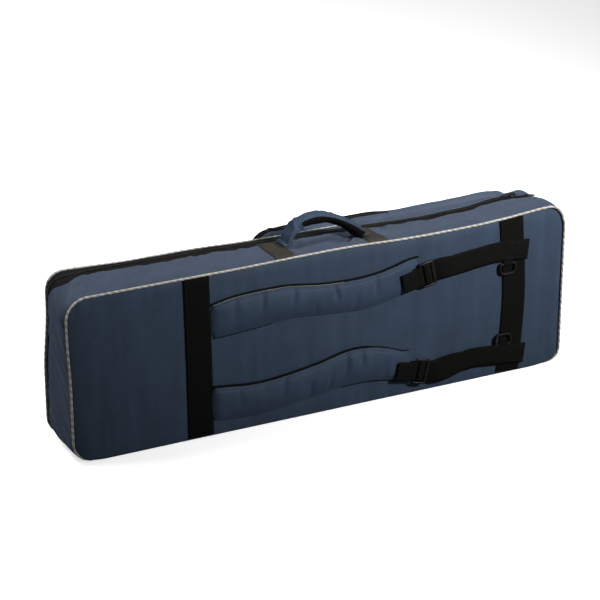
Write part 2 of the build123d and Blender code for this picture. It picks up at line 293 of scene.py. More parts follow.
def pebble(shape2d, levels, place):
    """A solid with rounded edges: a convex outline at several (height, inset) levels."""
    shape2d = np.array(shape2d, float)
    ahead = np.roll(shape2d, -1, 0) - np.roll(shape2d, 1, 0)
    out = unit(np.stack([ahead[:, 1], -ahead[:, 0]], 1))
    centre = shape2d.mean(0)
    out *= np.sign(((shape2d - centre) * out).sum(1).mean())
    rings = [np.column_stack([shape2d - out * inset, np.full(len(shape2d), height)])
             for height, inset in levels]
    v, faces = loft(np.array(rings))
    return place(v), faces


def stitches(line, normal, long=3.0, gap=1.4, r=0.35):
    """A row of thread stitches along a line: short rounded bars lying on the cloth."""
    line = np.array(line, float)
    along = distances(line)
    normal = np.broadcast_to(np.array(normal, float), line.shape)
    parts = []
    shares = ((0.0, 0.25, -0.2), (0.2, 1.0, 0.2), (0.8, 1.0, 0.2), (1.0, 0.25, -0.2))

    def at(s, values):
        return np.array([np.interp(s, along, values[:, k]) for k in range(3)])

    for start in np.arange(gap, along[-1] - long, long + gap):
        a, b, n = at(start, line), at(start + long, line), at(start + long / 2, normal)
        t = unit(b - a)
        n = unit(n - t * (n @ t))
        side = np.cross(t, n)
        rings = []
        for share, size, lift in shares:
            mid = a + (b - a) * share + n * r * lift
            rings.append([mid + (side * math.cos(w) + n * math.sin(w)) * r * size for w in full_turn(6)])
        parts.append(loft(np.array(rings)))
    return join(*parts)


# ---------------------------------------------------------------- materials

def add(tree, kind, inputs=(), **settings):
    """A shader node with its settings made and its inputs linked or set."""
    made = tree.nodes.new(kind)
    for key, value in settings.items():
        setattr(made, key, value)
    for key, value in dict(inputs).items():
        if isinstance(value, bpy.types.NodeSocket):
            tree.links.new(value, made.inputs[key])
        else:
            made.inputs[key].default_value = value
    return made


def calc(tree, operation, a, b=0.0, c=0.0):
    return add(tree, "ShaderNodeMath", {0: a, 1: b, 2: c}, operation=operation).outputs[0]


def wave(tree, place, direction, period_mm):
    """A sine across the object's own coordinates, in -1..1."""
    step = np.array(direction, float) / np.linalg.norm(direction) * 2 * math.pi / (period_mm * MM)
    across = add(tree, "ShaderNodeVectorMath", {0: place, 1: tuple(step)}, operation="DOT_PRODUCT")
    return calc(tree, "SINE", across.outputs["Value"])


def cloud(tree, place, size_mm, detail=3.0, stretch=(1.0, 1.0, 1.0)):
    """Soft noise about 0, in roughly -0.5..0.5."""
    scaled = add(tree, "ShaderNodeVectorMath", {0: place, 1: stretch}, operation="MULTIPLY").outputs[0]
    made = add(tree, "ShaderNodeTexNoise", {"Vector": scaled, "Scale": 1 / (size_mm * MM), "Detail": detail})
    return calc(tree, "SUBTRACT", made.outputs["Fac"], 0.5)


def total(tree, *terms):
    """Sum of (socket, weight) terms."""
    out = None
    for socket, weight in terms:
        out = calc(tree, "MULTIPLY_ADD", socket, weight, 0.0 if out is None else out)
    return out


def surface(name, color, detail, height, bump=0.3, rough=0.8, rough_swing=0.1, contrast=0.35,
            sheen=0.0, sheen_tint=(1, 1, 1, 1), metal=0.0, specular=0.4):
    """A procedural material. detail and height are functions of (tree, object coordinates)."""
    made = bpy.data.materials.new(name)
    made.use_nodes = True
    tree = made.node_tree
    shader = tree.nodes["Principled BSDF"]
    place = add(tree, "ShaderNodeTexCoord").outputs["Object"]
    tone = detail(tree, place)
    share = calc(tree, "ADD", tone, 0.5)
    share.node.use_clamp = True
    dark = tuple(c * (1 - contrast) for c in color) + (1.0,)
    light = tuple(min(1.0, c * (1 + contrast)) for c in color) + (1.0,)
    mixed = add(tree, "ShaderNodeMix", {0: share, 6: dark, 7: light}, data_type="RGBA")
    tree.links.new(mixed.outputs[2], shader.inputs["Base Color"])
    tree.links.new(calc(tree, "MULTIPLY_ADD", tone, rough_swing, rough), shader.inputs["Roughness"])
    raised = add(tree, "ShaderNodeBump", {"Height": height(tree, place), "Strength": bump, "Distance": 0.0006})
    tree.links.new(raised.outputs["Normal"], shader.inputs["Normal"])
    shader.inputs["Metallic"].default_value = metal
    shader.inputs["Specular IOR Level"].default_value = specular
    shader.inputs["Sheen Weight"].default_value = sheen
    shader.inputs["Sheen Roughness"].default_value = 0.45
    shader.inputs["Sheen Tint"].default_value = sheen_tint
    return made


def woven(name, color, warp, weft, fine=1.6, coarse=3.6, coarse_share=0.22, streak=0.0, **settings):
    """Nylon cloth: a coarse diagonal, a fine cross weave, soft blotches and long streaks."""

    def detail(tree, place):
        return total(tree, (wave(tree, place, warp, coarse), coarse_share),
                     (wave(tree, place, weft, coarse * 0.83), coarse_share * 0.4),
                     (cloud(tree, place, 45.0), 0.55), (cloud(tree, place, 3.0), 0.35),
                     (cloud(tree, place, 22.0, 2.0, (1.0, 1.0, 0.12)), streak))

    def height(tree, place):
        cross = calc(tree, "MULTIPLY", wave(tree, place, warp, fine), wave(tree, place, weft, fine))
        return total(tree, (cross, 0.5), (wave(tree, place, warp, coarse), 0.35), (cloud(tree, place, 1.2), 0.4))

    return surface(name, color, detail, height, **settings)


def ribbed(name, color, rib, cross, pitch=1.5, **settings):
    """Webbing or tape: ribs across one direction, with fine picks across the other."""

    def detail(tree, place):
        return total(tree, (wave(tree, place, rib, pitch * 2.0), 0.16),
                     (wave(tree, place, cross, pitch * 1.3), 0.1),
                     (cloud(tree, place, 30.0), 0.6), (cloud(tree, place, 2.0), 0.3))

    def height(tree, place):
        return total(tree, (wave(tree, place, rib, pitch), 0.6), (wave(tree, place, cross, pitch * 0.7), 0.35),
                     (cloud(tree, place, 0.8), 0.3))

    return surface(name, color, detail, height, **settings)


def grained(name, color, grain=1.5, wear=18.0, **settings):
    """Moulded plastic, foam or enamel: fine grain with larger patches of wear."""

    def detail(tree, place):
        return total(tree, (cloud(tree, place, wear), 0.9), (cloud(tree, place, grain * 2), 0.5))

    def height(tree, place):
        return total(tree, (cloud(tree, place, grain), 1.0), (cloud(tree, place, grain * 0.3), 0.4))

    return surface(name, color, detail, height, **settings)


DOWN_RIGHT = (1.0, 0.0, -1.0)
UP_RIGHT = (1.0, 0.0, 1.0)
NAVY_SHEEN = (0.55, 0.66, 0.9, 1.0)
PANEL = woven("panel_nylon", (0.029, 0.047, 0.079), DOWN_RIGHT, UP_RIGHT, coarse=4.4, coarse_share=0.30,
              streak=0.75, rough=0.64, specular=0.22, sheen=0.08, sheen_tint=NAVY_SHEEN, bump=0.4)
GUSSET = woven("gusset_nylon", (0.046, 0.061, 0.090), (1.0, 0.6, 0.4), (0.4, 1.0, -0.8), fine=1.3,
               coarse=2.6, coarse_share=0.14, rough=0.62, specular=0.16, sheen=0.1, sheen_tint=NAVY_SHEEN, bump=0.3)
PAD = woven("pad_nylon", (0.028, 0.047, 0.079), DOWN_RIGHT, UP_RIGHT, coarse=4.4, coarse_share=0.28, streak=0.5,
            rough=0.64, specular=0.22, sheen=0.05, sheen_tint=NAVY_SHEEN, bump=0.36)
# Beige cord cloth. Its strong coarse colour bands, about 13.5 mm apart along the cord, are painted highlights for
# light on the cord's beads.
PIPING_AND_HIGHLIGHTS = woven("piping_cloth", (0.36, 0.347, 0.312), (1.0, 1.0, 1.0), (1.0, -1.0, 1.0), fine=0.9,
               coarse=7.8, coarse_share=0.45, rough=0.45, sheen=0.15, bump=0.25, specular=0.45, contrast=0.35)
WEB_Z = ribbed("webbing_upright", (0.0048, 0.0048, 0.0044), (1, 0, 0), (0, 0, 1), rough=0.8, specular=0.06, bump=0.5)
WEB_X = ribbed("webbing_along", (0.0052, 0.0051, 0.0046), (0, 0, 1), (1, 0, 0), rough=0.8, specular=0.06, bump=0.5)
WEB_Y = ribbed("webbing_patch", (0.042, 0.038, 0.031), (1, 0, 0), (0, 1, 0), rough=0.8, specular=0.15, bump=0.5)
TAPE = ribbed("zipper_tape", (0.0095, 0.009, 0.008), (0, 1, 0), (1, 0, 1), pitch=1.1, rough=0.85, specular=0.12,
              bump=0.4)
COIL = grained("zipper_coil", (0.009, 0.0088, 0.0085), 0.6, 9.0, rough=0.42, bump=0.1, specular=0.3)
THREAD = grained("thread", (0.012, 0.013, 0.017), 0.5, 12.0, rough=0.7, specular=0.2, bump=0.2)
FOAM = grained("foam", (0.20, 0.21, 0.23), 1.0, 30.0, rough=0.95, bump=0.8, specular=0.2)
LINING = woven("lining_cloth", (0.040, 0.042, 0.047), (1, 0, 0), (0, 0, 1), fine=1.0, coarse=2.0,
               coarse_share=0.1, rough=0.9, sheen=0.5, bump=0.3)
PLASTIC = grained("black_plastic", (0.0055, 0.0055, 0.006), 0.9, 14.0, rough=0.42, bump=0.12, specular=0.3)
# Pale grey for the cord that paints a highlight along the upper pad's top edge.
PAINTED_HIGHLIGHT = grained("pad_painted_highlight", (0.16, 0.155, 0.14), 0.6, 12.0, rough=0.6, specular=0.3)
DULL = grained("dull_plastic", (0.0042, 0.0042, 0.0045), 0.9, 14.0, rough=0.6, bump=0.15, specular=0.18)
SLIDER = grained("slider_metal", (0.030, 0.029, 0.028), 0.7, 5.0, rough=0.36, bump=0.1, metal=0.75, specular=0.5)
RIVET = grained("rivet_metal", (0.09, 0.085, 0.075), 0.5, 4.0, rough=0.42, bump=0.08, metal=1.0)


# ---------------------------------------------------------------- the case

# Where the main zipper runs: (x along the top, y) of its middle and of its tapes' edges.
ZIP_MIDDLE = [(-470, 40), (-430, 43.5), (-394, 45), (-323, 44.5), (-270, 42), (-200, 41), (-130, 38), (42, 33),
              (115, 28), (175, 24), (240, 19.5), (290, 22), (335, 22.5), (373, 30), (411, 35), (430, 32),
              (463, 19), (480, 9), (497, -1), (505, -3)]
ZIP_INNER = [(-505, -8), (-490, -2), (-470, 9), (-450, 19), (-430, 26), (-394, 31), (-361, 28), (-323, 26),
             (-270, 24), (-120, 24), (42, 22), (115, 18.8), (175, 14.3), (240, 9.3), (290, 12.3), (335, 12.8),
             (373, 19.3), (411, 24.3), (430, 21.3), (463, 9.1), (480, 0), (497, -10), (505, -12)]
ZIP_OUTER = [(-470, 57.5), (-394, 57.5), (-270, 57.5), (-120, 56), (42, 46), (115, 37.5), (175, 33), (240, 28.5),
             (290, 31), (335, 32), (373, 39), (411, 45), (430, 42), (463, 29.4), (480, 19), (497, 9), (505, 7)]
END_MIDDLE, END_INNER, END_OUTER = 52.5, 48.5, 56.5        # on the left end, down from the corner
ZIP_HALF = 12.0            # from the zipper's middle to its tapes' edges, where it lies straight
BASE_TUCK = 5.0            # how far the strap side's piping is rolled under the base
SEAM = 0.6                 # how far the gusset's cloth stops short of its panel
CLOTH, TAPE_CLOTH = 1.2, 0.9
CREST = 6.0                # this far below the top the sag has its full depth

# How far the soft case stands above a true box along its top: (x, rise) by the strap side's piping,
# over the middle of the gusset, along the zipper and by the lid's piping.
NEAR_TOP = [(-505, -1), (-430, -0.6), (-300, 0), (-160, 0.4), (-100, 1.5), (-40, 2.4), (50, 2.4), (90, 1.0),
            (140, -1.0), (200, -2.0), (260, -1.7), (320, -0.6), (350, 0.9), (380, 2.6), (410, 5.0), (440, 7.5),
            (470, 9.2), (490, 9.6), (505, 7.0)]
MIDDLE_TOP = [(-505, 0), (-300, 0), (380, 0), (420, 2.5), (450, 5), (480, 8), (505, 6)]
ZIP_TOP = [(-505, 0), (-300, 0), (430, 0), (463, 1.2), (480, 3.2), (492, 4.5), (505, 3)]
LID_TOP = [(-505, 2), (-470, 3), (-430, 2), (-387, 0), (-354, -1.4), (-291, -1.5), (-193, -2), (-158, -3.5),
           (-95, -5.5), (100, -7.5), (300, -8), (440, -7.5), (480, -6), (505, -3)]


def slump(v):
    """The case's own soft shape: its top sags between raised corners, most along the lid."""
    x, y, z = v.T
    zip_y = np.maximum(through(ZIP_MIDDLE, x), 15)
    lift = through(NEAR_TOP, x)
    puffed = smooth((x - 70) / 60)
    lid_start = (zip_y + 10) * (1 - puffed) + (FRONT_Y - 11.5) * puffed
    for start, end, table in ((BACK_Y, -5.0, MIDDLE_TOP), (-5.0, zip_y, ZIP_TOP), (lid_start, FRONT_Y, LID_TOP)):
        share = smooth((y - start) / (end - start))
        lift = lift * (1 - share) + through(table, x) * share
    still = 265 - 65 * smooth((y - 30) / 30)
    share = smooth((z - still) / (HEIGHT - CREST - still))
    # The left end is drawn in towards the lid, and the right end by the zipper.
    drawn = smooth((-x - 330) / 150) * smooth((z - 130) / 130) * (12 * smooth((y + 62) / 125) - 4)
    drawn -= 5.5 * smooth((x - 420) / 80) * smooth((z - 190) / 80) * smooth((y + 35) / 45)
    new_x, new_z = x + drawn, z + lift * share
    # Two corners are squarer than a plain round, whose power is 2: the lower right and the lid's upper left.
    for mid_x, mid_z, power in ((LENGTH / 2 - CORNER, CORNER, 3.4 + 0 * y),
                                (CORNER - LENGTH / 2, HEIGHT - CORNER, 2 + 0.7 * smooth((y - 10) / 45))):
        out, up = (x - mid_x) * np.sign(mid_x), (z - mid_z) * np.sign(mid_z - HEIGHT / 2)
        turn = np.arctan2(np.maximum(up, 0), np.maximum(out, 0))
        fuller = (np.cos(turn) ** power + np.sin(turn) ** power) ** (-1 / power)
        fuller = np.where((out > 0) & (up > 0), fuller, 1.0)
        new_x, new_z = new_x + (x - mid_x) * (fuller - 1), new_z + (z - mid_z) * (fuller - 1)
    return np.stack([new_x, y, new_z], 1)


case_path = outline(LENGTH, 0.0, HEIGHT, CORNER)
case_points, case_normals, case_along = case_path
on_base = np.clip(-case_normals[:, 1], 0, 1)
above_split = np.flatnonzero(case_points[:, 1] >= ZIP_LOW)
top_run = np.flatnonzero(case_points[::-1, 1] > HEIGHT - 0.01)


def zip_line(points_on_top, left_value, right_value):
    """The zipper's y round the outline: along the top by x, and eased to the end faces' values."""
    x, z = case_points[:, 0], case_points[:, 1]
    left = smooth((-x - (LENGTH / 2 - CORNER)) / CORNER * 0.6 + (HEIGHT - z) / 90 * (x < 0))
    right = smooth((HEIGHT - 8 - z) / 75) * (x > 0)
    value = through(points_on_top, x) * (1 - left) * (1 - right) + left_value * left + right_value * right
    return np.where(z > HEIGHT / 2, value, np.where(x < 0, left_value, right_value))


zip_mid = zip_line(ZIP_MIDDLE, END_MIDDLE, ZIP_Y)
zip_out = zip_line(ZIP_OUTER, END_OUTER, ZIP_Y + ZIP_HALF)
pucker_in = 2.3 * noise(case_along / 13, 0, 3) + 1.2 * noise(case_along / 41, 0, 4)
gusset_edge = zip_line(ZIP_INNER, END_INNER, ZIP_Y - ZIP_HALF) + pucker_in * (1 - on_base)


def edge_on_top(x):
    """The y of the gusset's edge along the zipper, over the top."""
    return np.interp(x, case_points[::-1, 0][top_run], gusset_edge[::-1][top_run])


def near_patch(x):
    """1 where a handle patch lies on the gusset, 0 away from it."""
    gap = np.minimum(np.abs(x + 82), np.abs(x - 104)) - 24
    return 1 - smooth(gap / 14)


def calm_rise(from_pipe, from_zip):
    """(tuck, crown) of the gusset before it puckers: drawn in at both seams and full between them."""
    tuck = -1.6 * (1 - smooth(from_pipe / 7)) - 1.2 * (1 - smooth(from_zip / 3.0))
    return tuck, 1.7 * smooth(from_pipe / 22) * smooth(from_zip / 12)


def gusset_rise(t, y):
    """How the strap-side gusset stands out: calm by the base, the patches and the right end, else puckered."""
    from_pipe, from_zip = y + GUSSET_EDGE - SEAM, gusset_edge[:, None] - y
    s, x, z = case_along[:, None], case_points[:, :1], case_points[:, 1:]
    tuck, crown = calm_rise(from_pipe, from_zip)
    pucker = (1 - on_base[:, None]) * (1 - near_patch(x) * (z > HEIGHT / 2)) * (1 - 0.75 * smooth((x - 150) / 150))
    puffs = 4.0 * np.maximum(noise(s / 14 + y / 30, y / 60, 5), -0.2) * np.exp(-from_zip / 26) * smooth(from_zip / 5)
    folds = 3.8 * np.maximum(noise(s / 15 + y / 18, y / 80, 6), -0.5) * smooth(from_pipe / 10) * smooth(from_zip / 8)
    pinch = 0.8 * noise(s / 12, 0, 7) * np.exp(-from_pipe / 12) * smooth(from_pipe / 4)
    ends = np.abs(case_normals[:, :1]) ** 4
    slack = 2.0 * noise(z / 70, y / 50, 8) * ends * smooth(from_pipe / 20) * smooth(from_zip / 20)
    return tuck + crown * (1 - on_base[:, None]) + (puffs + folds + pinch + slack) * pucker


def lid_gusset_rise(t, y):
    """How the lid's narrow gusset stands out, less where it is narrowest."""
    width = np.maximum((GUSSET_EDGE - zip_out)[:, None], 1.0)
    from_zip, from_pipe = t * width, (1 - t) * width
    tuck = -1.4 * (1 - smooth(from_pipe / 5)) - 1.0 * (1 - smooth(from_zip / 3))
    crown = 1.3 * smooth(from_pipe / 9) * smooth(from_zip / 7)
    return tuck + crown * (1 + 0.5 * noise(case_along[:, None] / 25, 0, 9)) * np.minimum(width / 12, 1)


def flat_rise(level):
    """A rise that is the same everywhere."""
    return lambda t, y: np.full_like(y, level)


def tape_rise(t, y):
    """Zipper tape lies lower than the gussets, with a slight wave."""
    return -1.3 + 0.35 * noise(case_along[:, None] / 30, y / 20, 10)


def full(value):
    """One value for every point round the case."""
    return np.full(len(case_points), float(value))


def base_of(path, height):
    """The part of an outline below a height, end to end, and its points' places in the outline."""
    order = np.roll(np.arange(len(path[0])), len(path[0]) // 2)
    low = order[path[0][order, 1] < height]
    return tuple(v[low] for v in path), low


def main_gusset():
    """The strap side's broad gusset, its strip under the base and the lid's narrow gusset."""
    start = -GUSSET_EDGE + SEAM + BASE_TUCK * on_base
    piece("gusset_cloth", wall(case_path, start, gusset_edge, 26, gusset_rise, CLOTH), GUSSET,
          "case", ("body_gusset",))
    base_path, low = base_of(case_path, ZIP_LOW - 0.2)

    def rise(t, y):
        return -0.7 - 0.6 * (1 - smooth((GUSSET_EDGE - y) / 5))

    far_edge = np.full(len(low), GUSSET_EDGE - 0.3)
    cloth = wall(base_path, gusset_edge[low] - 5, far_edge, 10, rise, 1.1, closed=False)
    piece("base_gusset_cloth", cloth, GUSSET, "case")
    shell = wall(case_path, zip_out, full(GUSSET_EDGE), 8, lid_gusset_rise, 1.1, above_split)
    piece("lid_gusset_cloth", shell, GUSSET, "lid", ("lid_gusset",))


def padding():
    """Foam boards and lining behind the gusset, cut back to follow the zipper."""
    body = wall(case_path, full(-GUSSET_EDGE + 1), zip_mid - 2, 3, flat_rise(-2.6), 6.4)
    piece("gusset_foam", body, FOAM, "case", ("body_gusset_foam",))
    lid_part = wall(case_path, np.minimum(zip_mid + 2, GUSSET_EDGE - 2), full(GUSSET_EDGE), 3, flat_rise(-2.6), 6.4,
                    above_split)
    piece("lid_foam_edge", lid_part, FOAM, "lid", ("lid_gusset_foam",))

    def quilted(t, y):
        return -9.1 + 0.5 * noise(case_along[:, None] / 35, y / 30, 11)

    lining = wall(case_path, full(-GUSSET_EDGE + 1.4), zip_mid - 1.5, 12, quilted, 1.0)
    piece("gusset_lining", lining, LINING, "case", ("body_gusset_lining",))


def in_space(flat, y=0.0):
    """Flat (x, z) rows as 3-D ones at a depth y."""
    return np.stack([flat[:, 0], np.broadcast_to(y, len(flat)), flat[:, 1]], 1)


def on_path(path, y, lift, keep):
    """A 3-D line round an outline at depth y and a lift off it."""
    return in_space(path[0][keep] + path[1][keep] * lift, y)


def resampled(line, step):
    """The line again with even steps."""
    along = distances(line)
    at = np.arange(0, along[-1], step)
    return np.stack([np.interp(at, along, line[:, k]) for k in range(line.shape[1])], 1)


def coil(line, normal, side_sign, pitch=2.2, reach=2.6):
    """One half of a coil zipper: a row of rounded loops reaching across the middle line."""
    both = resampled(np.hstack([line, normal]), pitch)
    if side_sign < 0:
        both = (both[1:] + both[:-1]) / 2
    at, normal = both[:, :3], unit(both[:, 3:])
    tangent = unit(np.gradient(at, axis=0))
    side = unit(np.cross(tangent, normal)) * side_sign
    side *= np.sign(side[:, 1:2]) * side_sign
    parts = []
    for p, t, n, s in zip(at, tangent, normal, side):
        rings = []
        for across, size in ((-0.9, 0.35), (-0.6, 1.0), (0.5, 1.0), (1.0, 0.85), (1.15, 0.3)):
            mid = p + s * (reach * 0.5 * (across - 0.1) + reach * 0.25)
            rings.append([mid + (t * math.cos(a) * 0.72 + n * math.sin(a) * 1.15) * size for a in full_turn(6)])
        parts.append(loft(np.array(rings)))
    return join(*parts)


def main_zipper():
    """Both halves of the main zipper, from one end's base over the top to the other's."""
    keep = above_split
    normal = in_space(case_normals[keep])
    body_tape = wall(case_path, gusset_edge - 6, zip_mid - 0.9, 6, tape_rise, TAPE_CLOTH, keep)
    piece("zipper_tape_case", body_tape, TAPE, "case", ("body_zipper_tape",))
    far_edge = np.minimum(zip_out + 4, GUSSET_EDGE - 0.4)
    lid_tape = wall(case_path, zip_mid + 0.9, far_edge, 6, tape_rise, TAPE_CLOTH, keep)
    piece("zipper_tape_lid", lid_tape, TAPE, "lid", ("lid_zipper_tape",))
    line = on_path(case_path, zip_mid[keep], -0.55, keep)
    piece("zipper_coil_case", coil(line, normal, -1), COIL, "case", ("body_zipper_coil",))
    piece("zipper_coil_lid", coil(line, normal, 1), COIL, "lid", ("lid_zipper_coil",))
    roomy = GUSSET_EDGE - zip_out[keep] > 7        # where the lid's gusset is wide enough for its stitching
    for body, y, lift, sewn in (("case", gusset_edge - 3.0, 0.45, slice(None)), ("lid", zip_out + 2.6, 0.2, roomy)):
        row = stitches(on_path(case_path, y[keep], lift, keep)[sewn], normal[sewn])
        piece(f"zipper_stitching_{body}", row, THREAD, body)


def piping(name, node, y, body, tuck):
    """Cloth-covered cord, with the slight spiral of bias-cut cloth."""
    points, normals, _ = outline(LENGTH, 0.0, HEIGHT, CORNER, step=1.6)
    proud = 1.6 * np.clip(-normals[:, 0], 0, 1) if body == "lid" else 0.0
    inset = PIPE_R - proud - 0.4 * (1 - np.clip(-normals[:, 1], 0, 1))
    base = smooth(-normals[:, 1] * 1.4 - 0.4)
    path = in_space(points - normals * inset[:, None], y + tuck * base)
    turns = 2 * math.pi / 13.5

    def swell(s, angle):
        return 1 + 0.10 * np.sin(angle * 2 - s * turns) + 0.03 * noise(s / 9, angle, 12)

    cord = tube(path, PIPE_R * 0.86, 12, True, swell=swell)
    piece(name, cord, PIPING_AND_HIGHLIGHTS, body, (node,))


def panel_grid(width, low, top, radius, x_mid, step):
    """Flat (x, z) grid filling a rounded rectangle, its corner squares pressed round."""
    nu, nv = int(width / step) + 1, int((top - low) / step) + 1
    u, v = np.meshgrid(np.linspace(-width / 2, width / 2, nu), np.linspace(-(top - low) / 2, (top - low) / 2, nv),
                       indexing="ij")
    inner_u, inner_v = width / 2 - radius, (top - low) / 2 - radius
    a = np.clip((np.abs(u) - inner_u) / radius, 0, 1)
    b = np.clip((np.abs(v) - inner_v) / radius, 0, 1)
    x = np.sign(u) * (np.minimum(np.abs(u), inner_u) + radius * a * np.sqrt(1 - b * b / 2))
    z = np.sign(v) * (np.minimum(np.abs(v), inner_v) + radius * b * np.sqrt(1 - a * a / 2))
    qx, qz = np.abs(x) - inner_u, np.abs(z) - inner_v
    outside = np.hypot(np.maximum(qx, 0), np.maximum(qz, 0)) + np.minimum(np.maximum(qx, qz), 0)
    return x + x_mid, z + (low + top) / 2, np.maximum(radius - outside, 0)


def panel(x, z, front, thick):
    """A closed board over an (x, z) grid: its face at depth front, its back behind it by thick."""
    face = np.stack([x, front, z], 2)
    back = np.stack([x, front + thick, z], 2)
    n, m = x.shape
    count = n * m
    index = np.arange(count).reshape(n, m)
    a, b, c, d = index[:-1, :-1], index[1:, :-1], index[1:, 1:], index[:-1, 1:]
    quads = np.stack([a, b, c, d], 2).reshape(-1, 4)
    rim = np.concatenate([index[:, 0], index[-1, 1:], index[-2::-1, -1], index[0, -2:0:-1]])
    ahead = np.roll(rim, -1)
    sides = np.stack([rim, ahead, ahead + count, rim + count], 1)
    faces = np.concatenate([quads, quads[:, ::-1] + count, sides])
    return np.concatenate([face.reshape(-1, 3), back.reshape(-1, 3)]), [tuple(f) for f in faces.tolist()]


def back_dip(x, z, edge):
    """How far the strap-side cloth lies behind the panel's flat face."""
    roll = 2.0 * (1 - smooth(edge / 16)) + 1.3 * (1 - smooth(edge / 4))
    roll *= 1 - 0.8 * smooth((30 - z) / 24)
    left, right = smooth((-x - 290) / 90), smooth((x - 415) / 30)
    ripple = 0.5 + 0.5 * noise(x / 8.5, z / 160, 13)
    top = (0.6 + 2.1 * left + 1.8 * right) * ripple * np.exp(-(HEIGHT - z) / 55)
    worn = 0.7 + 1.5 * smooth((x + 110) / 70) * smooth((170 - x) / 60)
    low = worn * (0.5 + 0.5 * noise(x / 11, z / 160, 14)) * np.exp(-z / 30)
    ends = 0.7 * (0.5 + 0.5 * noise(z / 11, x / 160, 15)) * np.exp(-(LENGTH / 2 - np.abs(x)) / 35)
    slow = 0.55 * (0.5 + 0.5 * noise(x / 95, z / 80, 16))
    return roll + (top + low + ends) * smooth(edge / 5) + slow


def panels():
    """The cloth of the strap side's panel and of the lid's."""
    inset = 4.2
    x, z, edge = panel_grid(LENGTH - 2 * inset, inset, HEIGHT - inset, CORNER - inset, 0.0, 4.2)
    under = smooth((40 - z) / 36) * (1 - smooth((np.abs(x) - 440) / 45))
    back = panel(x, z - (inset - 0.8) * under, PANEL_Y + back_dip(x, z, edge), 1.2)
    piece("back_cloth", back, PANEL, "case", ("back_panel",))
    dip = 2.0 * (1 - smooth(edge / 16)) + 1.3 * (1 - smooth(edge / 4))
    dip += (0.9 * (0.5 + 0.5 * noise(x / 11, z / 150, 17)) * np.exp(-(HEIGHT - z) / 40)) * smooth(edge / 5)
    bulge = 1.6 * smooth(edge / 120) - 0.8 * (0.5 + 0.5 * noise(x / 110, z / 90, 18))
    front = panel(x, z, -PANEL_Y - dip + bulge * (x < POCKET_X - POCKET_WIDTH / 2 + 8) - 1.2, 1.2)
    piece("front_cloth", front, PANEL, "lid", ("front_panel",))


def linings():
    """Brushed lining over the foam boards, softly waved and set slightly back near its edge."""
    for name, node, body, sign in (("back_lining_cloth", "back_lining", "case", 1),
                                   ("front_lining_cloth", "front_lining", "lid", -1)):
        low, high = cad(node)
        face = high[1] if sign > 0 else low[1]
        x, z, edge = panel_grid(high[0] - low[0], low[2], high[2], CORNER - 10, 0.0, 9.0)
        wavy = 0.6 * noise(x / 60, z / 50, 19) - 0.9 * (1 - smooth(edge / 10))
        shape = panel(x, z, face + sign * wavy - (0.8 if sign > 0 else 0), 0.8)
        piece(name, shape, LINING, body, (node,))


def foam_boards():
    """Foam boards behind both panels, their edges rolled like the cloth in front of them."""
    for name, node, body, sign in (("back_board", "back_foam", "case", 1), ("front_board", "front_foam", "lid", -1)):
        low, high = cad(node)
        x, z, edge = panel_grid(high[0] - low[0], low[2], high[2], CORNER - 10, 0.0, 9.0)
        outer = low[1] if sign > 0 else high[1]
        face = outer + sign * (3.2 + 3.0 * (1 - smooth(edge / 20)))
        thick = sign * (high[1] - low[1] - 3.2 - 3.0 * (1 - smooth(edge / 20)))
        piece(name, panel(x, z, face, thick), FOAM, body, (node,))


# ---------------------------------------------------------------- the pocket

# How far the pocket's soft top edge stands above a straight line: (x, rise).
POCKET_EDGE = [(-81, 0), (-45, 0.5), (-8, 3), (60, 1.5), (118, 0), (182, -1.5), (200, -4), (250, -6), (440, -5),
               (467, -3)]

# How much higher its gusset stands in the middle of its width: (x, rise).
POCKET_CROWN = [(-81, 0), (227, 0), (262, 1.8), (332, 2.0), (368, 3.4), (421, 3.4), (439, 2.5), (467, 1)]


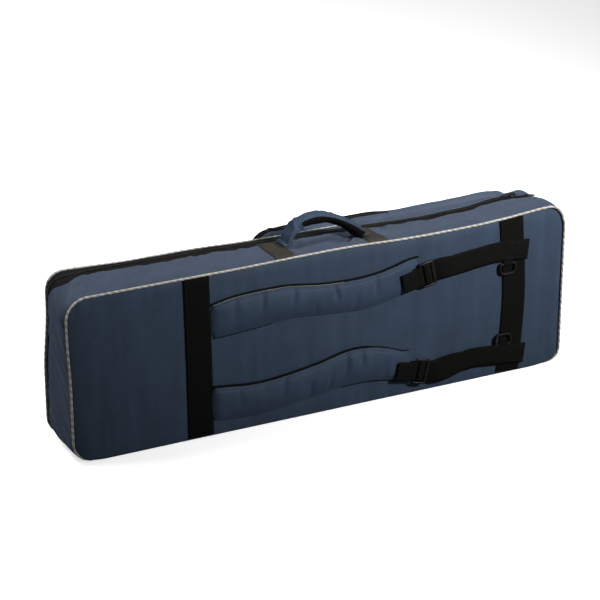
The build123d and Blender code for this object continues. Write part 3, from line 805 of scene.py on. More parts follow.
def pocket():
    """The pocket's gusset, both zipper halves, base strip, binding and face."""
    path = outline(POCKET_WIDTH, POCKET_LOW, POCKET_TOP, POCKET_CORNER, POCKET_X, 4.0)
    points, normals, along = path
    base = np.clip(-normals[:, 1], 0, 1)[:, None]
    on_top = np.clip(normals[:, 1], 0, 1)[:, None] ** 2
    sag = through(POCKET_EDGE, points[:, 0])[:, None] * on_top
    fixed = np.flatnonzero(points[:, 1] >= POCKET_SPLIT)

    def level(y):
        return np.full(len(points), y)

    start = level(-PANEL_Y - 1.0)
    tape_in = POCKET_ZIP_Y - 9.0 + 0.7 * noise(along / 19, 0, 20)

    def rise(t, y):
        from_seam, from_zip = y - start[:, None], tape_in[:, None] - y
        tuck = -1.5 * (1 - smooth(from_seam / 5)) - 1.0 * (1 - smooth(from_zip / 3))
        crown = 1.2 * smooth(from_seam / 8) * smooth(from_zip / 6)
        folds = 1.5 * noise(along[:, None] / 20, y / 16, 21) * smooth(from_seam / 6) * smooth(from_zip / 5)
        high = 4.6 + through(POCKET_CROWN, points[:, :1])
        bow = high * smooth(from_seam / 16) - 6.0 * (1 - smooth(from_seam / 9)) - 1.4 * (1 - smooth(from_zip / 5))
        return tuck + crown * (1 - on_top) + folds * (1 - base) + bow * on_top - 1.6 * seam(points, along)

    def tape_slope(t, y):
        return -1.2 + on_top * 3.4 * (1 - t)

    def tape_sag(t, y):
        return -1.2 + np.maximum(sag, -2.0) * (1 - t) + sag * t

    gusset = wall(path, start, tape_in, 12, rise, 1.2)
    piece("pocket_gusset_cloth", gusset, GUSSET, "lid", ("pocket_gusset",), soft=False)
    inner = wall(path, tape_in - 4, level(POCKET_ZIP_Y - 0.8), 4, tape_slope, TAPE_CLOTH, fixed)
    piece("pocket_tape_inner", inner, TAPE, "lid", ("pocket_inner_tape",), soft=False)
    outer = wall(path, level(POCKET_ZIP_Y + 0.8), level(BINDING_Y - 1.2), 4, tape_sag, TAPE_CLOTH, fixed)
    piece("pocket_tape_outer", outer, TAPE, "pocket_flap", ("pocket_outer_tape",))
    normal = in_space(normals[fixed])
    line = on_path(path, POCKET_ZIP_Y, -0.45, fixed)
    line[:, 2] += np.maximum(sag[fixed, 0], -2.0)
    piece("pocket_coil_inner", coil(line, normal, -1, 2.0, 2.2), COIL, "lid", ("pocket_inner_coil",),
          soft=False)
    piece("pocket_coil_outer", coil(line, normal, 1, 2.0, 2.2), COIL, "pocket_flap",
          ("pocket_outer_coil",))
    base_path, low = base_of(path, POCKET_SPLIT)
    strip = wall(base_path, level(POCKET_ZIP_Y - 13)[low], level(BINDING_Y - 1.4)[low], 6,
                 flat_rise(-0.9), 1.0, closed=False)
    piece("pocket_base_cloth", strip, GUSSET, "lid")
    fine_points, fine_normals, _ = outline(POCKET_WIDTH, POCKET_LOW, POCKET_TOP, POCKET_CORNER, POCKET_X, 2.2)
    flat_path = fine_points - fine_normals * 1.9
    flat_path[:, 1] += through(POCKET_EDGE, fine_points[:, 0]) * np.clip(fine_normals[:, 1], 0, 1) ** 2
    cord = in_space(flat_path, BINDING_Y)

    def swell(s, angle):
        return 1 + 0.05 * noise(s / 5, angle * 2, 22)

    piece("pocket_binding_cloth", tube(cord, 2.0, 10, True, swell=swell), WEB_X, "pocket_flap",
          ("pocket_binding",))
    inset = 3.2
    x, z, edge = panel_grid(POCKET_WIDTH - 2 * inset, POCKET_LOW + inset, POCKET_TOP - inset,
                            POCKET_CORNER - inset, POCKET_X, 4.5)
    swell_out = 2.4 * smooth(edge / 70) - 2.0 * (1 - smooth(edge / 10))
    puckers = 1.3 * (0.5 + 0.5 * noise(x / 10, z / 120, 23)) * np.exp(-(POCKET_TOP - z) / 35) * smooth(edge / 5)
    slow = 0.9 * noise(x / 90, z / 70, 24) * smooth(edge / 40)
    z = z + through(POCKET_EDGE, x) * smooth((z - POCKET_TOP + 60) / 57)
    face = panel(x, z, BINDING_Y - 0.4 + swell_out - puckers + slow, 1.2)
    piece("pocket_face_cloth", face, PANEL, "pocket_flap", ("pocket_panel",))


def seam(points, along):
    """A cross seam in the pocket's gusset, near the middle of its top."""
    return (np.exp(-((points[:, 0] - 195) / 3.0) ** 2) * (points[:, 1] > POCKET_TOP - 5))[:, None]


# ---------------------------------------------------------------- handle

def handle_path():
    """The handle's middle line in (x, z) off its centre: toe on the patch, foot, arch, foot, toe."""
    radius, centre = 87.4, 277.1
    angle = np.radians(np.linspace(-55.5, 55.5, 75))
    arch = np.stack([radius * np.sin(angle), centre + radius * np.cos(angle)], 1)
    left_toe = np.array([(-82.0, 325.0), (-78.0, 325.2), (-74.8, 325.9)])
    right_toe = np.array([(74.5, 325.2), (78.5, 324.6), (82.5, 324.4)])
    return resampled(np.concatenate([left_toe, arch, right_toe]), 1.6)


def lean(v):
    """The worn arch leans towards the left, and its right leg towards the strap side."""
    right = smooth((v[..., :1] - HANDLE_X - 5) / 75)
    return v - np.array([13.0, 0, 0]) * smooth((v[..., 2:] - 325) / 42) - np.array([0, 15.0, 0]) * right


def handle():
    """The padded handle: its cover with two flat tabs, the black webbing under it, thickened along the right leg as
    painted shade, and its stitching.
    """
    path = handle_path()
    tangent = unit(np.gradient(path, axis=0))
    for _ in range(3):
        tangent[1:-1] = unit(tangent[:-2] + tangent[1:-1] * 2 + tangent[2:])
    out = np.stack([-tangent[:, 1], tangent[:, 0]], 1)
    along = distances(path)
    from_mid = np.abs(along - along[-1] / 2 - 9.0)
    to_right = path[:, 0] > 0
    flat = np.where(to_right, smooth((from_mid - 70) / 8), smooth((from_mid - 50) / 10))
    end_taper = smooth(np.minimum(along, along[-1] - along) / 3)
    leg = smooth((path[:, 1] - 326) / 6)
    half_wide = 12.0 * (1 - flat) + 17.5 * flat
    half_thick = (10.6 * (1 - flat) + (2.1 + 2.2 * leg) * flat) * (0.5 + 0.5 * end_taper)
    centre = in_space(path) + np.array([HANDLE_X, 0, 0])
    out3 = in_space(out)
    power = (2 + 3 * flat)[:, None]

    def skin(angle, grow):
        """Rings round the handle's section: round and creased on the grip, flat on its two tabs."""
        cos, sin = np.cos(angle)[None, :], np.sin(angle)[None, :]
        across = squared(cos, 2 / power) * (half_wide[:, None] + grow)
        rise = squared(sin, 2 / power) * (half_thick[:, None] + grow)
        wrinkle = 0.9 * noise(along[:, None] / 5.5, 3 * cos + 2 * sin, 25)
        wrinkle = wrinkle + 0.8 * noise(along[:, None] / 13, sin * 2, 26)
        pull = 1.0 + 1.0 * np.exp(-((from_mid[:, None] - 46) / 9) ** 2)
        rise += wrinkle * pull * np.sign(sin) * np.abs(sin) * (1 - 0.75 * flat[:, None])
        across *= 1 + 0.025 * noise(along[:, None] / 7, sin, 27)
        rings = centre[:, None, :] + out3[:, None, :] * rise[:, :, None]
        rings[:, :, 1] += across
        return lean(rings)

    whole = full_turn(40) + math.pi / 2
    cover = piece("handle_cover", loft(skin(whole, 0.0)), PAD,
                  stands_for=("handle_grip", "handle_tab_left", "handle_tab_right"))
    below = np.linspace(math.pi - 0.35, 2 * math.pi + 0.22, 23)
    # The black webbing under the grip stands out most along the inside of the right leg, a dark sheet of painted shade
    # there. Elsewhere it is the handle's own webbing, and on the left it lies inside the cover.
    webbing_and_shade_bulge = 3.2 * smooth((path[:, 0] - 20) / 35) * smooth((78 - path[:, 0]) / 8)
    webbing_and_shade_bulge = (webbing_and_shade_bulge - 0.2 + 1.1 * smooth((path[:, 0] + 45) / 50))[:, None]
    inner = slice(6, len(path) - 6)
    lining = np.concatenate([skin(below, webbing_and_shade_bulge), skin(below[::-1], -0.6)], 1)[inner]
    core = piece("handle_underside_webbing_and_shade", loft(lining), WEB_X,
                 stands_for=("handle_webbing",))
    rows = []
    for side in (-1, 1):
        at = np.flatnonzero((path[:, 0] * side > 46))
        for edge in (-13.5, 13.5):
            line = centre[at] + out3[at] * (half_thick[at] + 0.15)[:, None] + np.array([0, edge, 0])
            rows.append(stitches(lean(line), out3[at], 2.6, 1.2, 0.32))
    thread = piece("handle_stitching", join(*rows), THREAD)
    start, end = (HANDLE_X * MM, 0, 0.3225), (HANDLE_X * MM, 0, 0.3375)
    for obj in (cover, core, thread):
        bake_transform(obj)
        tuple(start)
        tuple(end)


def gusset_top(x, y):
    """Height of the calm gusset under the handle's patches."""
    tuck, crown = calm_rise(y + GUSSET_EDGE - SEAM, edge_on_top(x) - y)
    return HEIGHT + tuck + crown


def patches():
    """Two webbing patches sewn across the gusset, under the handle's ends."""
    for name, near, far in (("left", (-104, -63), (-102, -60)), ("right", (84, 125), (84, 122))):
        edge = edge_on_top((near[0] + near[1]) / 2)
        y = np.linspace(-GUSSET_EDGE + 0.9, edge + 3.5, 44)
        share = smooth((y - y[0]) / (y[-1] - y[0]))
        x0, x1 = near[0] + (far[0] - near[0]) * share, near[1] + (far[1] - near[1]) * share
        a = np.linspace(0, 1, 15)
        x = x0[:, None] + (x1 - x0)[:, None] * a
        depth = np.broadcast_to(y[:, None], x.shape)
        top = gusset_top(x, np.minimum(depth, edge)) + 0.2
        thick = 1.5 * np.sqrt(np.maximum(1 - np.abs(2 * a - 1) ** 12, 0.1))[None, :]
        upper = np.stack([x, depth, top + thick], 2)
        lower = np.stack([x, depth, top - 0.5], 2)[:, ::-1]
        piece(f"patch_{name}", loft(np.concatenate([upper, lower], 1)), WEB_Y, "case",
              (f"handle_patch_{name}",))
        rows = []
        for share_x in (0.07, 0.93):
            seam_x = x0 + (x1 - x0) * share_x
            line = np.stack([seam_x, y, gusset_top(seam_x, np.minimum(y, edge)) + 1.75], 1)
            rows.append(stitches(line[3:-3], (0, 0, 1)))
        piece(f"patch_stitching_{name}", join(*rows), THREAD, "case")
    rivets = []
    low, high = cad("handle_rivets")
    profile = [(0.05, 1.6), (1.1, 1.5), (2.0, 1.0), (2.6, 0.4), (2.8, 0.0), (2.5, -0.4), (0.05, -0.4)]
    angle = full_turn(16)
    for x in (low[0] - 0.5, high[0] + 0.5):
        for y in (low[1] + 3.2, high[1] - 3.2):
            base = gusset_top(np.array([x]), np.array([y]))[0] + 1.8
            rings = [[(x + r * math.cos(w), y + r * math.sin(w), base + h) for w in angle] for r, h in profile]
            rivets.append(loft(np.array(rings)))
    piece("rivets", join(*rivets), RIVET, "case", ("handle_rivets",))


# ---------------------------------------------------------------- shoulder pads

# Each pad's row also gives the span of its lower edge that gets a thin dark cord of painted shade and, on the upper
# pad, where its cord of painted highlight stops.
PADS = {
    "upper": dict(
        end=188.0, painted_highlight_to=30.0, fades_at=250.0, painted_shade=(-232.0, -115.0),
        top=[(-234, 259), (-200, 266), (-141, 269.5), (-82, 268.5), (-22, 260), (39, 256.5), (101, 260), (142, 269),
             (164, 275), (188, 277)],
        bottom=[(-234, 192), (-160, 196), (-80, 202), (25, 194), (85, 192), (125, 199), (166, 208), (188, 216)],
        folds=[(-137, 2, 1), (-75, 3, 1), (14, -2, 1), (94, 1, 0.7), (-190, 1, 0.5), (55, 2, -0.6), (-30, -2, -0.5)]),
    "lower": dict(
        end=172.0, fades_at=72.0, painted_shade=(28.0, 146.0),
        top=[(-234, 98), (-135, 89), (-80, 94), (-32, 101), (60, 117), (110, 109), (156, 92)],
        bottom=[(-234, 29), (-135, 24), (-80, 29), (-30, 36), (45, 44), (105, 41), (152, 31)],
        folds=[(-93, 3, 0.9), (-36, 2, -1), (3, 2, -1), (34, 2, 1), (67, 1, 1), (-180, -2, 0.5), (118, 2, -0.6)]),
}
PAD_START = -236.0
PAD_PROUD = 8.0            # how thick a pad is before it swells
SETTLE_FRAMES = 18


def pad_shell(spec, inset, thick, count=150, rows=22):
    """The pad as rings across its length: flat behind, crowned in front, pulled in at its edges."""
    end = spec["end"]
    x = np.linspace(PAD_START + inset, end - inset, count)
    top = through(spec["top"], x) - inset
    low = through(spec["bottom"], x) + inset
    round_right = np.sqrt(np.maximum(1 - np.maximum((x - (end - 16)) / (16 - inset + 0.2), 0) ** 2, 0.02))
    round_left = np.sqrt(np.maximum(1 - np.maximum((PAD_START + 9 - x) / 9, 0) ** 2, 0.35))
    middle, half = (top + low) / 2, (top - low) / 2 * np.minimum(round_right, round_left)
    v = -np.cos(np.linspace(0, math.pi, rows))
    z = middle[:, None] + half[:, None] * v[None, :]
    body = np.where(v > 0, np.maximum(1 - np.abs(v) ** 5, 0) ** 0.55, np.maximum(1 - np.abs(v) ** 3.2, 0) ** 0.75)
    ends = smooth((x - PAD_START) / 16) ** 0.5 * (0.35 + 0.65 * smooth((end - x) / 40))
    front = PAD_BACK - 0.4 - thick * body[None, :] * ends[:, None]
    back = np.full_like(front, PAD_BACK - 0.3)
    grid = np.broadcast_to(x[:, None], z.shape)
    face = np.stack([grid, front, z], 2)
    rear = np.stack([grid, back, z], 2)[:, ::-1]
    return np.concatenate([face, rear], 1)


def simulate(obj, pressure, cap_mm, pin_y):
    """Swells a pad with cloth pressure, its back held flat, and caps how far it moves."""
    scene = bpy.context.scene
    mesh = obj.data
    rest = np.array([v.co for v in mesh.vertices])
    held = obj.vertex_groups.new(name="held")
    held.add([int(i) for i in np.flatnonzero(rest[:, 1] > pin_y * MM)], 1.0, "REPLACE")
    cloth = obj.modifiers.new("swell", "CLOTH")
    cloth.settings.quality = 5
    cloth.settings.mass = 0.25
    cloth.settings.tension_stiffness = 25
    cloth.settings.compression_stiffness = 25
    cloth.settings.bending_stiffness = 1.0
    cloth.settings.use_pressure = True
    cloth.settings.uniform_pressure_force = pressure
    cloth.settings.effector_weights.gravity = 0
    cloth.settings.vertex_group_mass = "held"
    for f in range(1, SETTLE_FRAMES + 1):
        scene.frame_set(f)
    graph = bpy.context.evaluated_depsgraph_get()
    swollen = bpy.data.meshes.new_from_object(obj.evaluated_get(graph))
    moved = np.array([v.co for v in swollen.vertices]) - rest
    bpy.data.meshes.remove(swollen)
    obj.modifiers.remove(cloth)
    size = np.linalg.norm(moved, axis=1, keepdims=True)
    moved *= np.minimum(1.0, cap_mm * MM / np.maximum(size, 1e-9))
    mesh.vertices.foreach_set("co", (rest + moved).astype(np.float32).ravel())
    scene.frame_set(1)


def subdivide(obj):
    """Replaces the object's mesh with a once subdivided one."""
    change = obj.modifiers.new("finer", "SUBSURF")
    change.levels = change.render_levels = 1
    graph = bpy.context.evaluated_depsgraph_get()
    mesh = bpy.data.meshes.new_from_object(obj.evaluated_get(graph))
    obj.modifiers.clear()
    obj.data = mesh


def pad(name, spec):
    """A shoulder pad with its folds and puckers, a black binding whose dark line also paints the shade above its top
    edge, a thin dark cord of painted shade along part of its lower edge, and on the upper pad a pale cord of painted
    highlight.
    """
    obj = piece(f"shoulder_pad_{name}_cloth", loft(pad_shell(spec, 0.6, PAD_PROUD)), PAD)
    simulate(obj, 4.0, 2.5, PAD_BACK - 2.5)
    subdivide(obj)
    mesh = obj.data
    p = np.array([v.co for v in mesh.vertices]) / MM
    x, y, z = p.T
    top, low = through(spec["top"], x), through(spec["bottom"], x)
    share = np.clip((z - low) / np.maximum(top - low, 1), 0, 1)
    depth = np.clip((PAD_BACK - y) / 10, 0, 1)
    seam_line = np.minimum(top - z, z - low)
    dent = 1.5 * np.exp(-((seam_line - 7.0) / 1.6) ** 2) * smooth((x - PAD_START - 6) / 6)
    for at, slant, where in spec["folds"]:
        centre = at + slant * (share - 0.5) * 4
        reach = smooth((share - 0.25) / 0.5) if where > 0 else smooth((0.75 - share) / 0.5)
        dent += 3.0 * abs(where) * reach * np.exp(-((x - centre) / 5.4) ** 2)
        dent -= 1.0 * abs(where) * reach * np.exp(-((x - centre - 11) / 6.5) ** 2)
    dent += 0.7 * noise(x / 16, z / 60, 30 + len(name)) + 0.5 * noise(x / 34 + z / 50, z / 30, 33)
    y = np.minimum(y + dent * depth, PAD_BACK - 0.2)
    mesh.vertices.foreach_set("co", (np.stack([x, y, z], 1) * MM).astype(np.float32).ravel())
    mesh.update()
    mesh.shade_smooth()
    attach(obj, "case")
    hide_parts(f"shoulder_pad_{name}")
    # A black binding cord along the pad's top edge. Its dark line also paints the shade in the gap above the pad.
    edge_x = np.linspace(PAD_START + 3, spec["end"] - 4, 160)
    line = np.stack([edge_x, np.full(len(edge_x), PAD_BACK - 3.0), through(spec["top"], edge_x) + 1.2], 1)
    fading = 1 - 0.62 * smooth((edge_x - spec["fades_at"]) / 30)
    binding = tube(line, 2.2, 8, swell=lambda s, a: (1 + 0.08 * noise(s / 6, a, 34)) * fading[:, None])
    piece(f"pad_binding_and_shade_{name}", binding, WEB_X, "case")
    # A thin dark cord along part of the pad's lower edge, against the panel: painted shade where the pad's edge meets
    # the panel.
    start, end = spec["painted_shade"]
    painted_shade_x = np.linspace(start, end, 60)
    painted_shade = np.stack([painted_shade_x, np.full(60, PAD_BACK - 1.0), through(spec["bottom"], painted_shade_x) + 0.4], 1)
    piece(f"pad_painted_shade_{name}", tube(painted_shade, 0.9, 6), WEB_X, "case")
    # On the upper pad, a pale grey cord under the top binding: a painted highlight for the light caught by the pad's
    # top roll.
    if "painted_highlight_to" in spec:
        near = edge_x < spec["painted_highlight_to"]
        painted_highlight = tube(line[near] + np.array([0, -2.0, -1.9]), 0.75, 6)
        piece(f"pad_painted_highlight_{name}", painted_highlight, PAINTED_HIGHLIGHT, "case")


# ---------------------------------------------------------------- webbing, tabs, adjusters, rings, buckles

def upright_webbing():
    """The two vertical webbings, tucked under the piping at both ends and drawn slightly off straight."""
    drifts = {"left": [(5, 2), (160, 0), (315, -3)], "right": [(5, -4), (165, 4.5), (315, -6)]}
    for name, drift in drifts.items():
        low, high = cad(f"webbing_{name}")
        middle, width = (low[0] + high[0]) / 2, high[0] - low[0]
        z = np.linspace(4.5, HEIGHT - 4.5, 90)
        x = middle + through(drift, z)
        dip = back_dip(x, z, np.minimum(z, HEIGHT - z)) * 0.8
        y = WEB_FACE - WEB_THICK / 2 - 0.15 + np.minimum(dip, 2.6) * smooth((40 - np.minimum(z, HEIGHT - z)) / 40)

        def sag(path, a):
            return 0.25 * noise(path[:, 2:3] / 24, a[None, :] * 1.5, 40)

        path = np.stack([x, y, z], 1)
        piece(f"webbing_{name}_cloth", ribbon(path, (0, -1, 0), width, WEB_THICK, 13, sag), WEB_Z, "case",
              (f"webbing_{name}",))
        rows = [stitches(path + np.array([side * (width / 2 - 3.0), -WEB_THICK / 2 - 0.1, 0]), (0, -1, 0))
                for side in (-1, 1)]
        piece(f"webbing_stitching_{name}", join(*rows), THREAD, "case")


BUCKLE_TILT = 12.0
BUCKLES = {"upper": BUCKLE_TILT, "lower": -BUCKLE_TILT}


def joint(name):
    """A joint's row in the frame."""
    return next(j for j in frame["joints"] if j["name"] == name)


def buckle_place(name):
    """Turns the buckle's own axes (x to the strap, y out of the case, z along the bar) into the frame's."""
    origin = np.array(joint(f"buckle_{name}_tilt")["pos_m"]) / MM
    tilt = math.radians(BUCKLES[name])
    cos, sin = math.cos(tilt), math.sin(tilt)

    def place(v):
        v = np.asarray(v, float)
        x, y, z = v[..., 0], v[..., 1], v[..., 2]
        return np.stack([origin[0] + x * cos - z * sin, origin[1] - y, origin[2] + x * sin + z * cos], -1)

    return place


def bar(start, end, half_a, half_b, place, up=(0.0, 1.0, 0.0)):
    """A moulded bar with a softly squared section between two points in the buckle's axes."""
    start, end = np.array(start, float), np.array(end, float)
    t = unit(end - start)
    up = np.array(up, float)
    side = unit(np.cross(t, up))
    angle = full_turn(16)
    flat = np.stack([squared(np.cos(angle)) * half_a, squared(np.sin(angle)) * half_b], 1)
    rings = []
    for along, size in ((0, 0.55), (0.02, 0.9), (0.06, 1), (0.94, 1), (0.98, 0.9), (1, 0.55)):
        mid = start + (end - start) * along
        rings.append(mid + side * flat[:, :1] * size + up * flat[:, 1:] * size)
    v, f = loft(np.array(rings))
    return place(v), f


def ladder_lock(name):
    """A buckle: three bars between two bowed sides, with teeth on the middle bar."""
    place = buckle_place(name)
    tall, long = 25.0, 25.0
    middle = long * 0.48
    parts = [bar((0, 0, -tall + 1), (0, 0, tall - 1), 2.0, 2.0, place),
             bar((middle, 0.3, -tall + 2), (middle, 0.3, tall - 2), 2.6, 1.7, place),
             bar((long, 0.6, -tall + 1), (long, 0.6, tall - 1), 3.0, 2.3, place)]
    angle = full_turn(12)
    section = np.stack([squared(np.sin(angle)) * 2.3, squared(np.cos(angle)) * 2.1], 1)
    for side in (-1, 1):
        z = side * (tall - 2.0)
        line = route([(x, y, z) for x, y in [(-1.5, 0.0), (4, 0.5), (14, 1.2), (22, 1.0), (27.0, 0.3)]], 1.5)
        order = np.arange(len(line))
        sizes = np.minimum(1, 0.6 + 0.4 * smooth(np.minimum(order, order[::-1]) / 2))
        rings = [np.stack([np.full(12, p[0]), p[1] + section[:, 0] * k, p[2] + section[:, 1] * k], 1)
                 for p, k in zip(line, sizes)]
        v, f = loft(np.array(rings))
        parts.append((place(v), f))
    teeth = []
    for z in np.linspace(-17, 17, 12):
        teeth.append(bar((middle + 2.2, 1.2, z - 0.8), (middle + 2.2, 1.2, z + 0.8), 0.7, 0.8, place))
    piece(f"buckle_{name}", join(*parts, *teeth), PLASTIC, f"buckle_{name}",
          (f"ladder_lock_{name}",))


def tab(name):
    """Webbing sewn flat on the pad, folded round the buckle's bar and tucked back under itself."""
    place = buckle_place(name)
    r = 3.3
    wrap = [(r * math.cos(a), r * math.sin(a)) for a in np.radians(np.linspace(88, -88, 12))]
    outer = [(-40, 3.6), (-36, 3.3), (-20, 3.2), (-8, 3.2)]
    under = [(-6, -3.0), (-14, -1.6)]
    line = route([(x, y, 0.0) for x, y in outer + wrap + under], 1.2)
    tangent = unit(np.gradient(line, axis=0))
    normal = np.stack([-tangent[:, 1], tangent[:, 0], np.zeros(len(line))], 1)
    v, f = ribbon(line, normal, 38.0, 1.7, 9)
    piece(f"tab_{name}", (place(v), f), WEB_X, "case", (f"pad_tab_{name}",))
    rows = []
    for a, b in (((-37, -15), (-37, 15)), ((-37, 15), (-12, 15)), ((-12, 15), (-12, -15)), ((-12, -15), (-37, -15)),
                 ((-37, -15), (-12, 15)), ((-37, 15), (-12, -15))):
        v, f = stitches([(a[0], 4.2, a[1]), (b[0], 4.2, b[1])], (0, 1, 0), 2.6, 1.2)
        rows.append((place(v), f))
    piece(f"tab_stitching_{name}", join(*rows), THREAD, "case")


ADJUSTERS = {
    "upper": dict(end=[(421, 252), (391, 254.8), (361, 257), (300, 253.5)], tail=[(262, 247.5), (300, 251)]),
    "lower": dict(end=[(421, 37.5), (391, 41), (356, 45), (300, 50)], tail=[(252, 46), (300, 46)]),
}


def adjuster(name):
    """Webbing from the right-hand webbing to the ladder lock, over its middle bar and back under itself."""
    place = buckle_place(name)
    spec = ADJUSTERS[name]
    sewn = WEB_FACE - WEB_THICK - 2.8
    depths = [sewn, sewn, sewn - 1.2, sewn - 2.6]
    line = [(x, y, z) for (x, z), y in zip(spec["end"], depths)]
    in_buckle = place([(40, 1.2, 0), (31, -1.8, 0), (22, -1.2, 0), (18.5, 1.6, 0), (13.6, 3.4, 0), (6.8, 1.5, 0),
                       (6.4, -2.2, 0), (14, -4.2, 0), (24, -4.4, 0), (34, -4.0, 0)])
    back = [(spec["tail"][0][0], sewn - 0.4, spec["tail"][0][1]), (spec["tail"][1][0], sewn + 0.5, spec["tail"][1][1])]
    path = route(line + [tuple(p) for p in in_buckle] + back, 1.4)
    tangent = unit(np.gradient(path, axis=0))
    tilt = math.radians(BUCKLES[name])
    inside = smooth((300 - path[:, 0]) / 60)[:, None]
    wide = unit(np.array([-math.sin(tilt), 0.0, math.cos(tilt)]) * inside + np.array([0.03, 0, 1.0]) * (1 - inside))
    normal = np.cross(wide, tangent)
    v, f = ribbon(path, normal, 41.0, 1.7, 9)
    obj = piece(f"adjuster_{name}", (v, f), WEB_X,
                stands_for=(f"adjuster_webbing_{name}",))
    far = place([(75, 0, 0)])[0]
    near = place([(34, 0, 0)])[0]
    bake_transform(obj)
    rows = []
    (xa, za), (xb, zb) = spec["end"][0], spec["end"][2]
    y = sewn - 1.05
    slope = (zb - za) / (xb - xa)
    for side in (-15, 15):
        rows.append(stitches([(xa - 3, y, za + side), (xa - 46, y - 0.2, za - 46 * slope + side)], (0, -1, 0)))
    for across in (-3, -24, -46):
        rows.append(stitches([(xa + across, y, za + across * slope - 15), (xa + across, y, za + across * slope + 15)],
                             (0, -1, 0)))
    for sign in (-1, 1):
        rows.append(stitches([(xa - 3, y, za + 15 * sign), (xa - 46, y, za - 46 * slope - 15 * sign)], (0, -1, 0)))
    piece(f"adjuster_stitching_{name}", join(*rows), THREAD, "case")


def keeper(name):
    """A short webbing loop that holds a D-ring's bar."""
    origin = np.array(joint(f"ring_{name}_swing")["pos_m"]) / MM
    up = 1 if name == "upper" else -1
    r = 3.2
    wrap = [(r * math.cos(a), r * math.sin(a)) for a in np.radians(np.linspace(70, -200, 14))]
    loop = [(-0.1, 22), (0.1, 12), (1.2, 5)] + wrap + [(-2.2, 4), (-1.4, 12), (-1.3, 21)]
    line = route([(origin[0], origin[1] - a, origin[2] + up * b) for a, b in loop], 1.2)
    tangent = unit(np.gradient(line, axis=0))
    normal = np.cross(tangent, np.array([1.0, 0, 0]))
    piece(f"keeper_{name}", ribbon(line, normal, 20.0, 0.9, 7), WEB_Z, "case",
          (f"ring_keeper_{name}",))


def d_ring(name):
    """A moulded D-ring: its bar along x through the swing's axis, its bow away from the adjuster."""
    low, high = cad(f"d_ring_{name}")
    origin = np.array(joint(f"ring_{name}_swing")["pos_m"]) / MM
    away = -1 if name == "upper" else 1
    half, reach, near, far = (high[0] - low[0]) / 2 - 2.6, 20.5, 3.5, 10.0
    turn = np.linspace(0, math.pi / 2, 8)
    quarter = [(half - near + near * math.sin(a), near - near * math.cos(a)) for a in turn]
    quarter += [(half - far + far * math.cos(a), reach - far + far * math.sin(a)) for a in turn]
    loop = np.array(quarter + [(-x, z) for x, z in reversed(quarter)])
    line = np.stack([origin[0] + loop[:, 0], np.full(len(loop), origin[1] - 0.6), origin[2] + away * loop[:, 1]], 1)
    closed = resampled(np.concatenate([line, line[:1]]), 1.1)
    piece(f"ring_{name}", tube(closed, 2.8, 12, True), DULL, f"ring_{name}", (f"d_ring_{name}",))


# ---------------------------------------------------------------- zipper sliders and pulls

def zip_shift(name, x):
    """How far the soft case moves a slider on the main zipper: (x, y, z)."""
    side, lower = (-19.0, 3.0) if name == "corner" else (0.0, 1.5)
    return np.array([0.0, side, 0.0 if name == "pocket" else float(through(ZIP_TOP, x)) - lower])


def slider(name):
    """A slider's upper plate with its two flanges and the bail that its pull hangs on."""
    low, high = cad(f"{name}_slider")
    shift = zip_shift(name, (low[0] + high[0]) / 2)
    centre = (low + high) / 2 + shift
    base = low[2] + shift[2]
    long, wide = high[0] - low[0], high[1] - low[1]
    nose = [(-0.5, 0.32), (-0.42, 0.45), (-0.2, 0.5), (0.15, 0.44), (0.4, 0.3), (0.5, 0.14)]
    shape = [(x * long, y * wide) for x, y in nose] + [(x * long, -y * wide) for x, y in reversed(nose)]

    def place(v):
        return v + np.array([centre[0], centre[1], base])

    plate = pebble(shape, [(0, 0.7), (0.5, 0.1), (1.5, 0), (2.1, 0.5), (2.5, 1.6)], place)
    flange = [loft(np.array([[(centre[0] + x * long + a, centre[1] + side * wide * w, base + h)
                              for a, h in ((-0.4, -0.2), (0.4, -0.2), (0.4, 1.0), (-0.4, 1.0))]
                             for x, w in ((-0.4, 0.44), (-0.2, 0.5), (0.15, 0.45), (0.38, 0.32))]))
              for side in (-1, 1)]
    bail_line = route([(-4.6, 0, 1.9), (-3.6, 0, 4.2), (0, 0, 6.0), (3.6, 0, 4.2), (4.6, 0, 1.9)], 0.7)
    bail = tube(place(bail_line), 0.8, 8)
    piece(f"slider_{name}", join(plate, bail, *flange), SLIDER, f"{name}_slider",
          (f"{name}_slider",))


def puller(name, pull_side):
    """A slider's pull: an eye, a thin plate with a cord rim, and raised grip bars."""
    pivot = np.array(joint(f"{name}_puller_flip")["pos_m"]) / MM
    pivot += zip_shift(name, pivot[0])
    droop = math.radians(11.0)

    def place(v):
        v = np.asarray(v, float)
        along = v[..., 0]
        x = pull_side * (along * math.cos(droop) + v[..., 2] * math.sin(droop))
        z = -along * math.sin(droop) + v[..., 2] * math.cos(droop)
        return pivot + np.stack([x, v[..., 1], z], -1)

    angle = full_turn(18)
    eye = np.stack([2.2 * np.cos(angle), 2.6 * np.sin(angle), 0 * angle], 1) + (1.0, 0, 0)
    long, half = 21.6, 3.6
    bend = np.linspace(-math.pi / 2, math.pi / 2, 10)
    right = np.stack([long - half + half * np.cos(bend), half * np.sin(bend), 0 * bend], 1)
    left = np.stack([4.6 - 1.4 * np.cos(bend), -2.4 * np.sin(bend), 0 * bend], 1)
    rim = np.concatenate([right, left])
    plate = pebble(rim[:, :2], [(-0.6, 0.5), (-0.3, 0.05), (0.3, 0.05), (0.6, 0.5)], place)
    rim_cord = tube(place(rim), 0.85, 8, True, up=(0.0, 0.05, 1.0))
    eye_cord = tube(place(eye), 0.7, 8, True, up=(0.0, 0.05, 1.0))
    grips = [bar((x, -2.2, 0.75), (x, 2.2, 0.75), 0.35, 0.3, place, up=(0, 0, 1)) for x in np.arange(9.5, 17.5, 1.7)]
    piece(f"pull_{name}", join(plate, rim_cord, eye_cord, *grips), SLIDER, f"{name}_puller",
          (f"{name}_puller",))


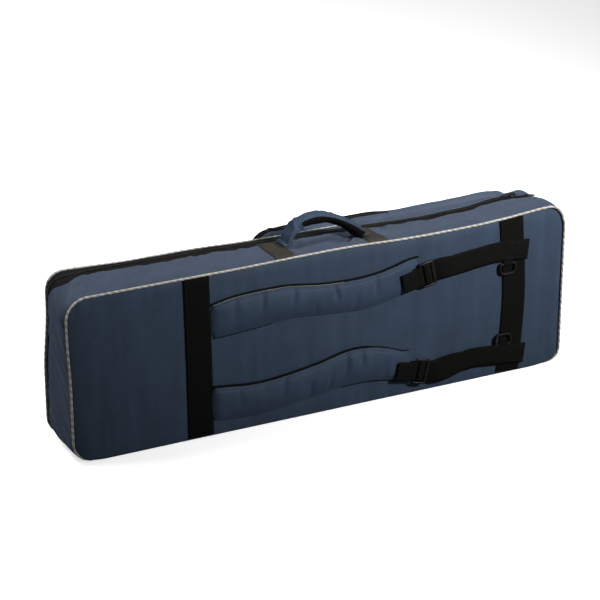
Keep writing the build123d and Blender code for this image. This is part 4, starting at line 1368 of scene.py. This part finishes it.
# ---------------------------------------------------------------- inside

def hold_downs():
    """Hook-and-loop straps across the back lining, slightly slack between their sewn ends."""
    for name in ("left", "right"):
        low, high = cad(f"inner_strap_{name}")
        z = np.linspace(low[2], high[2], 70)
        share = (z - low[2]) / (high[2] - low[2])
        y = low[1] + 1.4 + 5.0 * np.sin(math.pi * np.clip((share - 0.08) / 0.84, 0, 1)) ** 2
        x = np.full_like(z, (low[0] + high[0]) / 2) + 1.5 * noise(z / 60, 0, 50)
        path = np.stack([x, y, z], 1)
        piece(f"hold_down_{name}", ribbon(path, (0, 1, 0), high[0] - low[0], 1.8, 11), WEB_Z, "case",
              (f"inner_strap_{name}",))


# ---------------------------------------------------------------- stage: floor, light, camera

def plain(name, color, rough, glow):
    """A plain material with a white glow."""
    made = bpy.data.materials.new(name)
    made.use_nodes = True
    shader = made.node_tree.nodes["Principled BSDF"]
    shader.inputs["Base Color"].default_value = (*color, 1.0)
    shader.inputs["Roughness"].default_value = rough
    shader.inputs["Specular IOR Level"].default_value = 0.1
    shader.inputs["Emission Color"].default_value = (1.0, 1.0, 1.0, 1.0)
    shader.inputs["Emission Strength"].default_value = glow
    return made


def area_light(name, at, aim, size, power, color=(1.0, 1.0, 1.0), spread=180.0):
    """A round lamp at one point, turned towards another."""
    data = bpy.data.lights.new(name, "AREA")
    data.shape, data.size, data.energy, data.color = "DISK", size, power, color
    data.spread = math.radians(spread)
    lamp = bpy.data.objects.new(name, data)
    lamp.location = at
    lamp.rotation_euler = (Vector(aim) - Vector(at)).to_track_quat("-Z", "Y").to_euler()
    bpy.context.scene.collection.objects.link(lamp)


def stage():
    """The white floor, four lamps, the world and the camera."""
    mesh = bpy.data.meshes.new("floor")
    reach = 30.0
    mesh.from_pydata([(-reach, -reach, 0), (reach, -reach, 0), (reach, reach, 0), (-reach, reach, 0)], [],
                     [(0, 1, 2, 3)])
    floor = bpy.data.objects.new("floor", mesh)
    floor.location.z = -0.0004
    mesh.materials.append(plain("floor_paper", (0.9, 0.9, 0.9), 0.9, 0.62))
    bpy.context.scene.collection.objects.link(floor)
    floor.visible_diffuse = floor.visible_glossy = False
    area_light("key", (1.65, -2.66, 2.02), (0.66, 0, 1.14), 0.5, 27.5, spread=48.0)
    area_light("top", (0.2, 0.5, 2.4), (-0.05, 0, 0.2), 1.8, 11)
    area_light("left_high", (-1.3, 0.4, 1.9), (-0.1, 0, 0.3), 0.6, 24, (0.93, 0.95, 1.0))
    area_light("left_fill", (-2.6, 0.5, 1.5), (-0.5, 0, 0.2), 1.2, 7, (0.84, 0.85, 1.0))
    world = bpy.data.worlds.new("studio")
    bpy.context.scene.world = world
    world.use_nodes = True
    tree = world.node_tree
    seen = add(tree, "ShaderNodeLightPath").outputs["Is Camera Ray"]
    tree.nodes["Background"].inputs[0].default_value = (1.0, 1.0, 1.0, 1.0)
    tree.links.new(calc(tree, "MULTIPLY_ADD", seen, 0.98, 0.10), tree.nodes["Background"].inputs[1])
    data = bpy.data.cameras.new("camera")
    data.lens, data.sensor_width = 138.06, 36.0
    data.clip_start, data.clip_end = 0.1, 100.0
    camera = bpy.data.objects.new("camera", data)
    camera.location = (-1.751, -3.495, 1.873)
    look = Vector((0.40681, 0.82445, -0.39343))
    camera.rotation_euler = look.to_track_quat("-Z", "Y").to_euler()
    bpy.context.scene.collection.objects.link(camera)
    bpy.context.scene.camera = camera
    bpy.context.scene.view_settings.view_transform = "Standard"


stage()
main_gusset()
padding()
main_zipper()
piping("piping_back", "back_piping", BACK_Y, "case", BASE_TUCK)
piping("piping_front", "front_piping", FRONT_Y, "lid", 0.0)
panels()
linings()
foam_boards()
pocket()
patches()
handle()
for pad_name, pad_spec in PADS.items():
    pad(pad_name, pad_spec)
upright_webbing()
for side_name in BUCKLES:
    ladder_lock(side_name)
    tab(side_name)
    adjuster(side_name)
    keeper(side_name)
    d_ring(side_name)
for zip_name, pull in (("top", -1), ("corner", 1), ("pocket", 1)):
    slider(zip_name)
    puller(zip_name, pull)
hold_downs()
